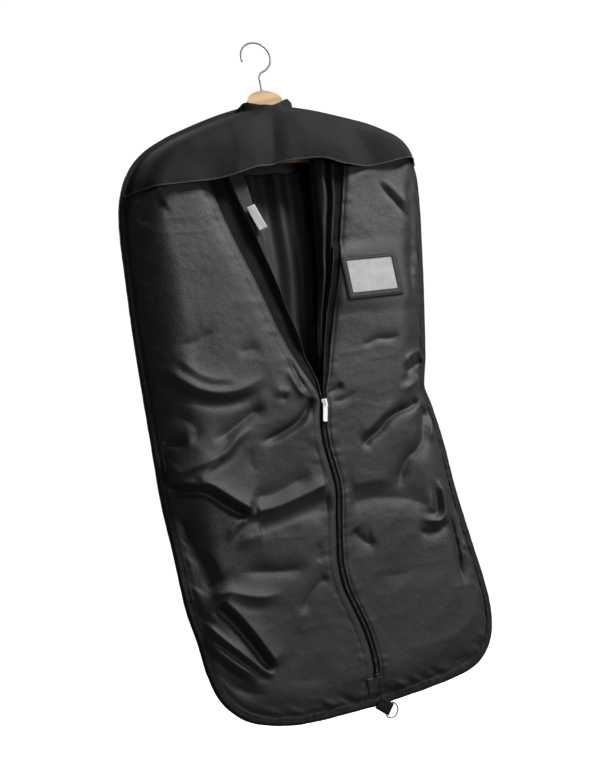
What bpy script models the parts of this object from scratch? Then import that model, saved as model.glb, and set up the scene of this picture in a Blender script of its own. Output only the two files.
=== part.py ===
"""Garment bag for one suit, hanging from its wooden hanger, zip half open.

Metres, +Z up. The origin is where a rail touches the inside of the hook.
The front faces -Y and +X is to the viewer's right. The bag is two halves that
fold back to back at FOLD_Z; the back panels are flat, the front panels bulge.
"""
import math

import bmesh
import bpy
import numpy as np
from mathutils import Matrix, Vector

# ---------------------------------------------------------------- dimensions
NAME = "garment_bag"
FOLD_Z = -0.688            # height of the carry fold
FOLD_GAP = 0.0006          # half the gap between the upper and lower solids
BACK_Y = 0.0208            # middle of the flat back panel
BACK_T = 0.0015            # its thickness
SEAM_Y = 0.0090            # where the front panels are sewn over the edge binding
BIND_W = 0.010             # edge binding, width in the plane of the bag
BIND_Y0, BIND_Y1 = 0.0102, 0.0196
PANEL_T = 0.0015
YOKE_PROUD = 0.0060        # yoke in front of the panels
GAP = 0.0005

# outer outline, from the neck down each side (x, z)
LEFT_UP = [(-0.047, -0.127), (-0.100, -0.142), (-0.160, -0.164), (-0.213, -0.187),
           (-0.255, -0.214), (-0.284, -0.248), (-0.303, -0.290), (-0.313, -0.345),
           (-0.317, -0.450), (-0.319, -0.570), (-0.318, FOLD_Z)]
RIGHT_UP = [(0.047, -0.126), (0.100, -0.135), (0.160, -0.150), (0.218, -0.167),
            (0.263, -0.190), (0.292, -0.224), (0.303, -0.270), (0.299, -0.330),
            (0.284, -0.430), (0.265, -0.540), (0.246, -0.640), (0.233, FOLD_Z)]
LEFT_LOW = [(-0.318, FOLD_Z), (-0.317, -0.760), (-0.316, -0.840), (-0.309, -0.930),
            (-0.302, -1.030), (-0.291, -1.090), (-0.283, -1.145), (-0.266, -1.195),
            (-0.230, -1.233), (-0.178, -1.253), (-0.113, -1.262), (0.010, -1.261)]
RIGHT_LOW = [(0.233, FOLD_Z), (0.231, -0.706), (0.239, -0.745), (0.248, -0.810),
             (0.254, -0.900), (0.266, -1.000), (0.277, -1.080), (0.279, -1.140),
             (0.268, -1.188), (0.242, -1.221), (0.205, -1.239), (0.130, -1.251),
             (0.010, -1.261)]

# zip: the closed chain runs straight from the slider to the bottom stop
ZIP_TOP = Vector((-0.004, -0.0405, -0.705))
ZIP_BOTTOM = Vector((0.018, -0.0055, -1.205))
TAPE_IN, TAPE_OUT, TAPE_T = 0.0040, 0.0170, 0.0008
COIL_IN, COIL_OUT, COIL_T = 0.0010, 0.0036, 0.0020
V_FOOT_X, V_HEAD_X, V_HEAD_Y, V_HEAD_Z = 0.0052, 0.1320, -0.0530, -0.235
V_HEAD_RIGHT_X = 0.1180

# hanger
HOOK_R = 0.030             # centre line radius of the hook
WIRE_R = 0.0020
NECK_TOP = -0.1005
STEM_BORE = 0.0023

# card pocket
POCKET = Vector((0.1335, -0.0514, -0.488))
POCKET_W, POCKET_H = 0.118, 0.087
WINDOW_W, WINDOW_H = 0.096, 0.062
CARD_W, CARD_H = 0.098, 0.064

# webbing loop and D-ring at the foot
LOOP_AT = Vector((0.0175, 0.0060, -1.2555))
LOOP_TILT = math.radians(50)
LOOP_L, LOOP_W, LOOP_T = 0.0255, 0.0230, 0.0060
RING_AT = 0.0225
RING_BAR = 0.0133          # half length of the straight bar
RING_R = 0.0015

for stale in list(bpy.data.objects):
    bpy.data.objects.remove(stale, do_unlink=True)
for stale in list(bpy.data.collections):
    bpy.data.collections.remove(stale)
PARTS = bpy.data.collections.new(NAME)
HELPERS = bpy.data.collections.new(NAME + "_cutters")
bpy.context.scene.collection.children.link(PARTS)
bpy.context.scene.collection.children.link(HELPERS)


# ------------------------------------------------------------------ helpers
def material(name, colour, roughness, metallic=0.0, alpha=1.0):
    mat = bpy.data.materials.new(name)
    mat.use_nodes = True
    shader = mat.node_tree.nodes["Principled BSDF"]
    shader.inputs["Base Color"].default_value = (*colour, 1.0)
    shader.inputs["Roughness"].default_value = roughness
    shader.inputs["Metallic"].default_value = metallic
    shader.inputs["Alpha"].default_value = alpha
    return mat


def finish_object(obj, mat, parent=None, matrix=None):
    PARTS.objects.link(obj)
    obj.data.materials.append(mat)
    if parent is not None:
        obj.parent = parent
    if matrix is not None:
        obj.matrix_world = matrix
    return obj


def make_helper(obj):
    HELPERS.objects.link(obj)
    obj.hide_render = True
    obj.display_type = "WIRE"
    return obj


def smooth_line(points, per_span):
    """Catmull-Rom curve through the points."""
    pts = [np.array(p, float) for p in points]
    pts = [2 * pts[0] - pts[1]] + pts + [2 * pts[-1] - pts[-2]]
    out = []
    for i in range(1, len(pts) - 2):
        a, b, c, d = pts[i - 1:i + 3]
        for k in range(per_span):
            t = k / per_span
            out.append(0.5 * (2 * b + (c - a) * t + (2 * a - 5 * b + 4 * c - d) * t * t
                              + (3 * b - 3 * c + d - a) * t ** 3))
    out.append(pts[-2])
    return np.array(out)


def inset(line, by, side):
    """The line moved by this much to its left (side 1) or right (side -1)."""
    step = np.gradient(line, axis=0)
    step /= np.linalg.norm(step, axis=1)[:, None]
    return line + side * by * np.c_[-step[:, 1], step[:, 0]]


def resample(line, at):
    """Points along a line, at these parts of its length, or this many evenly."""
    length = np.r_[0, np.cumsum(np.linalg.norm(np.diff(line, axis=0), axis=1))]
    at = np.linspace(0, length[-1], at) if isinstance(at, int) else at * length[-1]
    return np.stack([np.interp(at, length, line[:, k]) for k in range(line.shape[1])], axis=1)


def distance_to(line, points):
    """Each point's distance to a polyline."""
    a, b = line[:-1], line[1:]
    ab = b - a
    ap = points[:, None, :] - a[None]
    t = np.clip((ap * ab[None]).sum(2) / (ab ** 2).sum(1)[None], 0, 1)
    return np.linalg.norm(ap - t[..., None] * ab[None], axis=2).min(axis=1)


def box(name, size, centre, mat, matrix=None, bevel=0.0, helper=False):
    bm = bmesh.new()
    bmesh.ops.create_cube(bm, size=1.0)
    bmesh.ops.scale(bm, vec=size, verts=bm.verts)
    bmesh.ops.translate(bm, vec=centre, verts=bm.verts)
    mesh = bpy.data.meshes.new(name)
    bm.to_mesh(mesh)
    bm.free()
    obj = bpy.data.objects.new(name, mesh)
    if helper:
        make_helper(obj)
    else:
        finish_object(obj, mat)
    if matrix is not None:
        obj.matrix_world = matrix
    if bevel:
        mod = obj.modifiers.new("edges", "BEVEL")
        mod.width, mod.segments = bevel, 2
    return obj


def poly_curve(name, points, cyclic=False, flat=False):
    data = bpy.data.curves.new(name, "CURVE")
    data.dimensions = "2D" if flat else "3D"
    spline = data.splines.new("POLY")
    spline.points.add(len(points) - 1)
    for point, co in zip(spline.points, points):
        point.co = (co[0], co[1], co[2] if len(co) > 2 else 0.0, 1.0)
    spline.use_cyclic_u = cyclic
    return data


def wire(name, points, radius, mat, cyclic=False, resolution=2):
    data = poly_curve(name, points, cyclic)
    data.bevel_depth, data.bevel_resolution = radius, resolution
    data.use_fill_caps = not cyclic
    return finish_object(bpy.data.objects.new(name, data), mat)


def plate(name, outlines, thickness, mat, matrix):
    """Flat outline in local XY, with any further outlines as holes."""
    data = poly_curve(name, outlines[0], True, True)
    for hole in outlines[1:]:
        spline = data.splines.new("POLY")
        spline.points.add(len(hole) - 1)
        for point, co in zip(spline.points, hole):
            point.co = (co[0], co[1], 0.0, 1.0)
        spline.use_cyclic_u = True
    data.fill_mode, data.extrude = "BOTH", thickness / 2
    return finish_object(bpy.data.objects.new(name, data), mat, matrix=matrix)


def swept(name, points, width, thickness, mat, matrix, cyclic=False):
    """A strip along a line in local XY: width in the plane, thickness along local Z."""
    w, t = width / 2, thickness / 2
    profile = make_helper(bpy.data.objects.new(
        name + "_profile", poly_curve(name + "_profile", [(-w, -t), (-w, t), (w, t), (w, -t)], True, True)))
    data = poly_curve(name, points, cyclic)
    data.twist_mode = "Z_UP"
    data.bevel_mode, data.bevel_object = "OBJECT", profile
    data.use_fill_caps = not cyclic
    return finish_object(bpy.data.objects.new(name, data), mat, matrix=matrix)


def upright(y):
    """Local XY becomes world XZ, at this depth."""
    return Matrix.Translation((0, y, 0)) @ Matrix.Rotation(math.pi / 2, 4, "X")


def spread(count, close):
    """0 to 1 in steps that close up at the start, the end, both or neither."""
    t = np.linspace(0, 1, count + 1)
    return {"": t, "start": t ** 1.7, "end": 1 - (1 - t) ** 1.7,
            "both": np.where(t < 0.5, 0.5 * (2 * t) ** 1.3, 1 - 0.5 * (2 - 2 * t) ** 1.3)}[close]


def coons(top, bottom, left, right, nu, nv, close_u="", close_v=""):
    """Grid between four lines: left and right run down, top and bottom run left to right."""
    at_u, at_v = spread(nu, close_u), spread(nv, close_v)
    top, bottom = resample(top, at_u), resample(bottom, at_u)
    left, right = resample(left, at_v), resample(right, at_v)
    u, v = at_u[None, :, None], at_v[:, None, None]
    flat = ((1 - v) * top[None] + v * bottom[None] + (1 - u) * left[:, None] + u * right[:, None]
            - (1 - u) * (1 - v) * top[0] - u * (1 - v) * top[-1]
            - (1 - u) * v * bottom[0] - u * v * bottom[-1])
    return flat


def sheet(name, grid, depth, thickness, mat):
    """A sheet over a grid of (x, z) points, at depth(x, z), thickened evenly."""
    nv, nu = grid.shape[0] - 1, grid.shape[1] - 1
    bm = bmesh.new()
    bmesh.ops.create_grid(bm, x_segments=nu, y_segments=nv, size=0.5)
    for vert in bm.verts:
        i = round((vert.co.x + 0.5) * nu)
        j = round((0.5 - vert.co.y) * nv)
        x, z = grid[j, i]
        vert.co = (x, depth(x, z), z)
    bmesh.ops.recalc_face_normals(bm, faces=bm.faces)
    if sum(f.normal.y for f in bm.faces) > 0:
        bmesh.ops.reverse_faces(bm, faces=bm.faces)
    mesh = bpy.data.meshes.new(name)
    bm.to_mesh(mesh)
    bm.free()
    mesh.shade_smooth()
    obj = finish_object(bpy.data.objects.new(name, mesh), mat)
    mod = obj.modifiers.new("cloth", "SOLIDIFY")
    mod.thickness, mod.offset = thickness, 0.0
    return obj


def loft(name, sections, mat):
    """A closed body through rings of equal count, capped at both ends."""
    bm = bmesh.new()
    rings = [[bm.verts.new(p) for p in ring] for ring in sections]
    count = len(rings[0])
    for a, b in zip(rings, rings[1:]):
        for k in range(count):
            bm.faces.new((a[k], a[(k + 1) % count], b[(k + 1) % count], b[k]))
    bm.faces.new(rings[0])
    bm.faces.new(rings[-1])
    bmesh.ops.recalc_face_normals(bm, faces=bm.faces)
    mesh = bpy.data.meshes.new(name)
    bm.to_mesh(mesh)
    bm.free()
    mesh.shade_smooth()
    mesh.set_sharp_from_angle(angle=math.radians(50))
    return finish_object(bpy.data.objects.new(name, mesh), mat)


def boolean(obj, other, operation):
    mod = obj.modifiers.new(operation.lower() + "_" + other.name, "BOOLEAN")
    mod.operation, mod.object = operation, other


def turned(name, profile, centre, mat, steps=24):
    """A turned piece about Z. The profile runs down its outer side."""
    bm = bmesh.new()
    verts = [bm.verts.new((r, 0, z)) for r, z in profile]
    for a, b in zip(verts, verts[1:] + verts[:1]):
        bm.edges.new((a, b))
    mesh = bpy.data.meshes.new(name)
    bm.to_mesh(mesh)
    bm.free()
    obj = finish_object(bpy.data.objects.new(name, mesh), mat)
    obj.location = centre
    mod = obj.modifiers.new("turn", "SCREW")
    mod.steps = mod.render_steps = steps
    mod.use_merge_vertices, mod.merge_threshold = True, 0.00005
    mod.use_smooth_shade = True
    return obj


# --------------------------------------------------------------- materials
NYLON = material("nylon", (0.045, 0.045, 0.047), 0.55)
NYLON_LOW = material("nylon_lower", (0.040, 0.040, 0.042), 0.55)
BACKING = material("back_nylon", (0.030, 0.030, 0.031), 0.65)
YOKE = material("yoke_cloth", (0.022, 0.022, 0.022), 0.75)
PIPING = material("piping", (0.055, 0.055, 0.055), 0.6)
BINDING = material("binding_tape", (0.018, 0.018, 0.018), 0.6)
TAPE = material("zip_tape", (0.030, 0.030, 0.030), 0.8)
COIL = material("zip_coil", (0.008, 0.008, 0.008), 0.45)
LINING = material("lining", (0.035, 0.035, 0.036), 0.7)
LABEL = material("label", (0.80, 0.80, 0.80), 0.7)
CLEAR = material("clear_vinyl", (0.75, 0.76, 0.77), 0.12, alpha=0.4)
CARD = material("card", (0.55, 0.55, 0.56), 0.6)
WOOD = material("birch", (0.62, 0.47, 0.31), 0.45)
CHROME = material("chrome_wire", (0.75, 0.75, 0.76), 0.12, 1.0)
STEEL = material("steel_fitting", (0.55, 0.55, 0.56), 0.3, 1.0)
SILVER = material("slider_metal", (0.80, 0.80, 0.81), 0.22, 1.0)
WEBBING = material("webbing", (0.012, 0.012, 0.012), 0.8)
DARK_METAL = material("ring_metal", (0.10, 0.10, 0.11), 0.3, 1.0)

# -------------------------------------------------------------- bag surface
left_up, right_up = smooth_line(LEFT_UP, 5), smooth_line(RIGHT_UP, 5)
left_low, right_low = smooth_line(LEFT_LOW, 5), smooth_line(RIGHT_LOW, 5)
# the inner edge of the binding, where the front panels start
IN = BIND_W + GAP
in_left_up, in_right_up = inset(left_up, IN, 1), inset(right_up, IN, -1)
in_left_low, in_right_low = inset(left_low, IN, 1), inset(right_low, IN, -1)
neck_bar = np.array([in_left_up[0], in_right_up[0]])
round_all = np.concatenate([in_right_up[::-1], in_left_up, in_left_low, in_right_low[::-1]])


def zip_line(z):
    """(x, y) of the zip at a height below the slider."""
    t = (ZIP_TOP.z - z) / (ZIP_TOP.z - ZIP_BOTTOM.z)
    return ZIP_TOP.x + t * (ZIP_BOTTOM.x - ZIP_TOP.x), ZIP_TOP.y + t * (ZIP_BOTTOM.y - ZIP_TOP.y)


def open_edge(z, sign=-1):
    """(half width, y) of the open zip at a height above the fold."""
    t = (z - FOLD_Z) / (V_HEAD_Z - FOLD_Z)
    foot_y = zip_line(FOLD_Z)[1]
    head_x = V_HEAD_X if sign < 0 else V_HEAD_RIGHT_X
    return V_FOOT_X + t * (head_x - V_FOOT_X), foot_y + t * (V_HEAD_Y - foot_y)


def fullness(z):
    """How far the front stands in front of the seam at this height."""
    if z < FOLD_Z:
        return SEAM_Y - zip_line(z)[1]
    if z < V_HEAD_Z:
        return SEAM_Y - open_edge(z)[1]
    top = SEAM_Y - V_HEAD_Y
    t = min(1.0, (z - V_HEAD_Z) / 0.11)
    return top + (0.038 - top) * t * t * (3 - 2 * t)


def front_y(x, z):
    reach = float(np.interp(z, [-0.70, -0.45, -0.27, -0.15], [0.110, 0.100, 0.050, 0.034]))
    away = distance_to(round_all, np.array([[x, z]]))[0]
    s = min(1.0, away / reach)
    return SEAM_Y - fullness(z) * (1 - (1 - s) ** 2.2)


def yoke_y(x, z):
    y = front_y(x, z) - YOKE_PROUD
    if abs(x) < 0.0535:
        y = min(y, -0.0052 - 0.0262 * math.sqrt(1 - (x / 0.054) ** 2))
    return y


# -------------------------------------------------------------- back panels
back_up = np.concatenate([left_up, right_up[::-1]])
back_up[:, 1] = np.maximum(back_up[:, 1], FOLD_Z + FOLD_GAP)
back_low = np.concatenate([left_low, right_low[::-1][1:]])
back_low[:, 1] = np.minimum(back_low[:, 1], FOLD_Z - FOLD_GAP)
plate("back_panel_upper", [back_up], BACK_T, BACKING, upright(BACK_Y))
plate("back_panel_lower", [back_low], BACK_T, BACKING, upright(BACK_Y))

# ------------------------------------------------------------- edge binding
BIND_MID, BIND_T = (BIND_Y0 + BIND_Y1) / 2, BIND_Y1 - BIND_Y0


def run_of(line, side, low=None, high=None, start=0, stop=None):
    mid = inset(line, BIND_W / 2, side)[start:stop]
    if low is not None:
        mid[:, 1] = np.maximum(mid[:, 1], low)
    if high is not None:
        mid[:, 1] = np.minimum(mid[:, 1], high)
    return mid


swept("edge_binding_upper_left", run_of(left_up, 1, low=FOLD_Z + 2 * FOLD_GAP), BIND_W, BIND_T, BINDING, upright(BIND_MID))
swept("edge_binding_upper_right", run_of(right_up, -1, low=FOLD_Z + 2 * FOLD_GAP), BIND_W, BIND_T, BINDING, upright(BIND_MID))
CORNER_L, CORNER_R = 35, 40
side_l = run_of(left_low, 1, high=FOLD_Z - 2 * FOLD_GAP, stop=CORNER_L)
side_r = run_of(right_low, -1, high=FOLD_Z - 2 * FOLD_GAP, stop=CORNER_R)
foot = np.concatenate([run_of(left_low, 1, start=CORNER_L), run_of(right_low, -1, start=CORNER_R)[::-1][1:]])


def shortened(line, first, last):
    """The line with its ends pulled in, so that neighbours keep a gap."""
    line = line.copy()
    for end, towards, by in ((0, 1, first), (-1, -2, last)):
        d = line[towards] - line[end]
        line[end] = line[end] + d / np.linalg.norm(d) * by
    return line


swept("edge_binding_lower_left", shortened(side_l, 0, GAP), BIND_W, BIND_T, BINDING, upright(BIND_MID))
swept("edge_binding_lower_right", shortened(side_r, 0, GAP), BIND_W, BIND_T, BINDING, upright(BIND_MID))
swept("edge_binding_foot", shortened(foot, GAP, GAP), BIND_W, BIND_T, BINDING, upright(BIND_MID))

# ------------------------------------------------------------- front panels
EDGE = TAPE_OUT + 0.0012
SHOULDER_L, SHOULDER_R = 22, 20        # where the shoulder becomes the side


def panel_upper(name, side, outline, corner):
    sign = -1 if side == "left" else 1
    z_top = -0.205
    half = ((V_HEAD_X if sign < 0 else V_HEAD_RIGHT_X) - V_FOOT_X) / (V_HEAD_Z - FOLD_Z)
    out = EDGE / math.cos(math.atan(half))
    base = zip_line(FOLD_Z)[0]
    zs = np.linspace(z_top, FOLD_Z + 2 * FOLD_GAP, 20)
    inner = np.array([(base * (1 - (z - FOLD_Z) / (V_HEAD_Z - FOLD_Z)) + sign * (open_edge(z, sign)[0] + out), z) for z in zs])
    shoulder = outline[:corner + 1]
    shoulder = shoulder[np.abs(shoulder[:, 0]) > abs(inner[0, 0]) + 0.004]
    top = np.concatenate([[inner[0]], shoulder])
    outer = outline[corner:].copy()
    outer[:, 1] = np.maximum(outer[:, 1], FOLD_Z + 2 * FOLD_GAP)
    foot_line = np.array([inner[-1], outer[-1]])
    if side == "left":
        grid = coons(top[::-1], foot_line[::-1], outer, inner, 11, 16, "start", "start")
    else:
        grid = coons(top, foot_line, inner, outer, 11, 16, "end", "start")
    sheet(name, grid, front_y, PANEL_T, NYLON)


def panel_lower(name, side, outline, corner):
    sign = -1 if side == "left" else 1
    stop = outline[-1, 1] + 0.0010
    zs = np.linspace(FOLD_Z - 2 * FOLD_GAP, stop, 20)
    inner = np.array([(zip_line(z)[0] + sign * EDGE, z) for z in zs])
    outer = outline[:corner + 1].copy()
    outer[:, 1] = np.minimum(outer[:, 1], FOLD_Z - 2 * FOLD_GAP)
    hem = outline[corner:]
    hem = hem[sign * (hem[:, 0] - inner[-1, 0]) > 0.004]
    hem = np.concatenate([hem, [inner[-1]]])
    top = np.array([inner[0], outer[0]])
    if side == "left":
        grid = coons(top[::-1], hem, outer, inner, 11, 14, "start", "end")
    else:
        grid = coons(top, hem[::-1], inner, outer, 11, 14, "end", "end")
    sheet(name, grid, front_y, PANEL_T, NYLON_LOW)


panel_upper("front_panel_upper_left", "left", in_left_up, SHOULDER_L)
panel_upper("front_panel_upper_right", "right", in_right_up, SHOULDER_R)
panel_lower("front_panel_lower_left", "left", in_left_low, CORNER_L + 3)
panel_lower("front_panel_lower_right", "right", in_right_low, CORNER_R + 4)

# ------------------------------------------------------------ shoulder yoke
HEM = [(-0.2935, -0.293), (-0.257, -0.297), (-0.196, -0.294), (-0.115, -0.285),
       (-0.059, -0.271), (0.002, -0.260), (0.058, -0.258), (0.083, -0.262),
       (0.112, -0.272), (0.151, -0.276), (0.187, -0.274), (0.240, -0.266), (0.2920, -0.258)]
hem = smooth_line(HEM, 4)


def cut_below(outline, z):
    """The outline down to this height."""
    keep = [p for p in outline if p[1] > z]
    a, b = outline[len(keep) - 1], outline[len(keep)]
    t = (z - a[1]) / (b[1] - a[1])
    return np.array(keep + [a + t * (b - a)])


yl, yr = cut_below(in_left_up, HEM[0][1]), cut_below(in_right_up, HEM[-1][1])
hem[0], hem[-1] = yl[-1], yr[-1]
k_l, k_r = 17, 15
across = np.array([(x, -0.1405) for x in np.linspace(-0.046, 0.046, 9)])
yoke_top = np.concatenate([yl[:k_l + 1][::-1][:-1], across, yr[1:k_r + 1]])
yoke_top = yoke_top[np.r_[True, np.diff(yoke_top[:, 0]) > 0.002]]
grid = coons(yoke_top, hem, yl[k_l:], yr[k_r:], 42, 11, "both", "start")
sheet("shoulder_yoke", grid, yoke_y, PANEL_T, YOKE)
piping_pts = [(x, yoke_y(x, z), z - 0.0022) for x, z in resample(hem, 34)[1:-1]]
wire("yoke_hem_piping", piping_pts, 0.0014, PIPING)

# the bound edge of the neck opening
neck_ring = [(0.043 * math.cos(a), 0.0215 * math.sin(a)) for a in np.linspace(0, 2 * math.pi, 33)[:-1]]
swept("neck_binding", neck_ring, 0.0018, 0.013, BINDING, Matrix.Translation((0, -0.0030, -0.1380)), cyclic=True)

# ------------------------------------------------------ facings behind the zip


def facing(name, sign, edge, z0, z1):
    edge = smooth_line(edge, 4)
    zs = np.linspace(z0, z1, 16)
    outer = np.array([(sign * (open_edge(z, sign)[0] + 0.012), z) for z in zs])
    inner = np.stack([np.interp(zs[::-1], edge[::-1, 1], edge[::-1, 0])[::-1], zs], axis=1)
    a, b = (outer, inner) if sign < 0 else (inner, outer)
    grid = coons(np.array([a[0], b[0]]), np.array([a[-1], b[-1]]), a, b, 4, 12)
    sheet(name, grid, lambda x, z: open_edge(z)[1] + 0.0075 + 0.06 * max(0.0, open_edge(z, sign)[0] - abs(x)),
          0.0012, LINING)


facing("inner_facing_left", -1, [(-0.062, -0.245), (-0.063, -0.320), (-0.061, -0.400), (-0.045, -0.500), (-0.030, -0.600)], -0.245, -0.600)
facing("inner_facing_right", 1, [(0.055, -0.245), (0.051, -0.320), (0.044, -0.400), (0.022, -0.550), (0.012, -0.630)], -0.245, -0.630)
LABEL_AT = Vector((-0.0730, open_edge(-0.363)[1] + 0.0052, -0.363))
box("care_label", (0.017, 0.0008, 0.048), (0, 0, 0), LABEL,
    Matrix.Translation(LABEL_AT) @ Matrix.Rotation(math.radians(-15), 4, "Y") @ Matrix.Rotation(math.radians(3), 4, "Z"))

# --------------------------------------------------------------- open zip
for side, sign in (("left", -1), ("right", 1)):
    foot_pt = Vector((zip_line(FOLD_Z)[0] + sign * V_FOOT_X, open_edge(FOLD_Z)[1], FOLD_Z))
    head_pt = Vector((sign * open_edge(V_HEAD_Z, sign)[0], V_HEAD_Y, V_HEAD_Z))
    up = (head_pt - foot_pt).normalized()
    back = (Vector((0, 1, 0)) - up * up.y).normalized()
    frame = Matrix((back.cross(up), back, up)).transposed().to_4x4()
    frame.translation = foot_pt
    length = (head_pt - foot_pt).length
    low = 0.0062                      # clear of the fold plane at the tilted tape's corner
    box(f"zip_tape_upper_{side}", (0.0130, TAPE_T, length - low), (sign * 0.0098, 0, (length + low) / 2), TAPE, frame)
    box(f"zip_coil_upper_{side}", (0.0026, COIL_T, length - 0.0035), (sign * 0.0016, 0, (length + 0.0020) / 2), COIL, frame)
    box(f"zip_top_stop_{side}", (0.0046, 0.0028, 0.0040), (sign * 0.0022, 0, length + 0.0020), STEEL, frame, bevel=0.0005)

# ------------------------------------------------------- closed zip and slider
zip_up = (ZIP_TOP - ZIP_BOTTOM).normalized()
zip_back = (Vector((0, 1, 0)) - zip_up * zip_up.y).normalized()
ZIP_FRAME = Matrix((zip_back.cross(zip_up), zip_back, zip_up)).transposed().to_4x4()
ZIP_FRAME.translation = ZIP_TOP
zip_axis = bpy.data.objects.new("zip_axis", None)
HELPERS.objects.link(zip_axis)
zip_axis.matrix_world = ZIP_FRAME
ZIP_HEAD, ZIP_FOOT = 0.0150, -0.5000
for side, sign in (("left", -1), ("right", 1)):
    mid, long = (ZIP_HEAD + ZIP_FOOT) / 2, ZIP_HEAD - ZIP_FOOT
    box(f"zip_tape_lower_{side}", (TAPE_OUT - TAPE_IN, TAPE_T, long), (sign * (TAPE_IN + TAPE_OUT) / 2, 0, mid), TAPE, ZIP_FRAME)
    box(f"zip_coil_lower_{side}", (COIL_OUT - COIL_IN, COIL_T, long), (sign * (COIL_IN + COIL_OUT) / 2, 0, mid), COIL, ZIP_FRAME)
box("zip_bottom_stop", (0.0085, 0.0034, 0.0030), (0, 0, ZIP_FOOT - 0.0019), STEEL, ZIP_FRAME, bevel=0.0006)
box("zip_end_patch", (0.0345, 0.0012, 0.0355), (0, -0.0004, -0.5226), NYLON_LOW, ZIP_FRAME)

S = -0.0030                             # top of the slider on the zip's axis
slider = box("slider_body", (0.0092, 0.0012, 0.0140), (0, -0.0020, S - 0.0070), SILVER, ZIP_FRAME, bevel=0.0004)
pieces = [("back", (0.0092, 0.0012, 0.0140), (0, 0.0020, S - 0.0070)),
          ("bridge", (0.0012, 0.0040, 0.0030), (0, 0, S - 0.0016)),
          ("post_a", (0.0015, 0.0045, 0.0014), (0, -0.0045, S - 0.0022)),
          ("post_b", (0.0015, 0.0045, 0.0014), (0, -0.0045, S - 0.0100)),
          ("bar", (0.0015, 0.0014, 0.0092), (0, -0.0062, S - 0.0061))]
for part, size, centre in pieces:
    boolean(slider, box("slider_" + part, size, centre, None, ZIP_FRAME, helper=True), "UNION")
slider.modifiers.move(0, len(slider.modifiers) - 1)
slider.modifiers.remove(slider.modifiers[-1])

PIVOT = Vector((0, -0.0039, S - 0.0075))  # on the slider's frame
PULL_LEAN = math.radians(12)             # the tab hangs a little aslant of the chain


def rounded(w, h, r, steps=4, cx=0.0, cy=0.0):
    out = []
    for sx, sy, a0 in ((1, 1, 0), (-1, 1, 90), (-1, -1, 180), (1, -1, 270)):
        for k in range(steps + 1):
            a = math.radians(a0 + 90 * k / steps)
            out.append((cx + sx * (w / 2 - r) + r * math.cos(a), cy + sy * (h / 2 - r) + r * math.sin(a)))
    return out


pull = [(x, y) for x, y in rounded(0.0082, 0.0345, 0.0026, cy=-0.0165)]
pull_eye = rounded(0.0036, 0.0046, 0.0008, 2, cy=-0.0032)
plate("pull_tab", [pull, pull_eye], 0.0014, SILVER,
      ZIP_FRAME @ Matrix.Translation(PIVOT) @ Matrix.Rotation(PULL_LEAN, 4, "Y") @ Matrix.Rotation(math.pi / 2, 4, "X"))

# ------------------------------------------------------------- card pocket
POCKET_FRAME = Matrix.Translation(POCKET) @ Matrix.Rotation(math.radians(2.6), 4, "Z") @ Matrix.Rotation(math.radians(-1.5), 4, "Y")
stand = Matrix.Rotation(math.pi / 2, 4, "X")
plate("pocket_frame", [rounded(POCKET_W, POCKET_H, 0.003, 2), rounded(WINDOW_W, WINDOW_H, 0.002, 2)], 0.0012,
      BINDING, POCKET_FRAME @ Matrix.Translation((0, -0.0028, 0)) @ stand)
box("pocket_window", (0.106, 0.0006, 0.073), (0, -0.0016, 0), CLEAR, POCKET_FRAME)
box("card_insert", (CARD_W, 0.0005, CARD_H), (0, -0.0006, 0), CARD, POCKET_FRAME)

# ------------------------------------------------- webbing loop and D-ring
down = Vector((math.sin(LOOP_TILT), 0, -math.cos(LOOP_TILT)))
wide = Vector((math.cos(LOOP_TILT), 0, math.sin(LOOP_TILT)))
# local X along the width, local Y along the webbing
LOOP_FRAME = Matrix((wide, down, wide.cross(down))).transposed().to_4x4()
LOOP_FRAME.translation = LOOP_AT
side_on = Matrix((Vector((0, 1, 0)), Vector((0, 0, 1)), Vector((1, 0, 0)))).transposed().to_4x4()
end = RING_AT
fold = [(0.0, -LOOP_T / 2), (end, -LOOP_T / 2)]
fold += [(end + LOOP_T / 2 * math.sin(a), -LOOP_T / 2 * math.cos(a)) for a in np.linspace(0, math.pi, 9)[1:-1]]
fold += [(end, LOOP_T / 2), (0.0, LOOP_T / 2)]
eye = [(end + 0.0023 * math.cos(a), 0.0023 * math.sin(a)) for a in np.linspace(0, 2 * math.pi, 13)[:-1]]
plate("webbing_loop", [fold, eye], LOOP_W, WEBBING, LOOP_FRAME @ side_on)
ring = [(-RING_BAR, 0), (-RING_BAR / 2, 0), (0, 0), (RING_BAR / 2, 0), (RING_BAR, 0)]
ring += [(RING_BAR + 0.0006, 0.0030)] + [(RING_BAR * math.cos(a), 0.0055 + 0.0110 * math.sin(a)) for a in np.linspace(0, math.pi, 11)]
ring += [(-RING_BAR - 0.0006, 0.0030)]
ring_pts = [LOOP_FRAME @ Vector((x, end + y, 0)) for x, y in ring]
wire("d_ring", ring_pts, RING_R, DARK_METAL, cyclic=True)

# ------------------------------------------------------------------ hanger
# neck block: a board with a domed head, narrow where it passes the neck opening
head = [(0.036 * math.sin(a), -0.122 + 0.0215 * math.cos(a)) for a in np.linspace(-math.pi / 2, math.pi / 2, 19)]
cheek = [(0.0345, -0.1265), (0.0305, -0.1305), (0.0300, -0.1460), (0.0300, -0.1780), (0.0220, -0.1830)]
neck_outline = head + cheek + [(-x, z) for x, z in reversed(cheek)]
curve = plate("hanger_neck", [neck_outline], 0.0180, WOOD, upright(0.0))
graph = bpy.context.evaluated_depsgraph_get()
mesh = bpy.data.meshes.new_from_object(curve.evaluated_get(graph))
bm = bmesh.new()
bm.from_mesh(mesh)
bmesh.ops.remove_doubles(bm, verts=bm.verts, dist=0.00002)
bmesh.ops.recalc_face_normals(bm, faces=bm.faces)
bm.to_mesh(mesh)
bm.free()
matrix = curve.matrix_world.copy()
bpy.data.objects.remove(curve, do_unlink=True)
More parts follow.
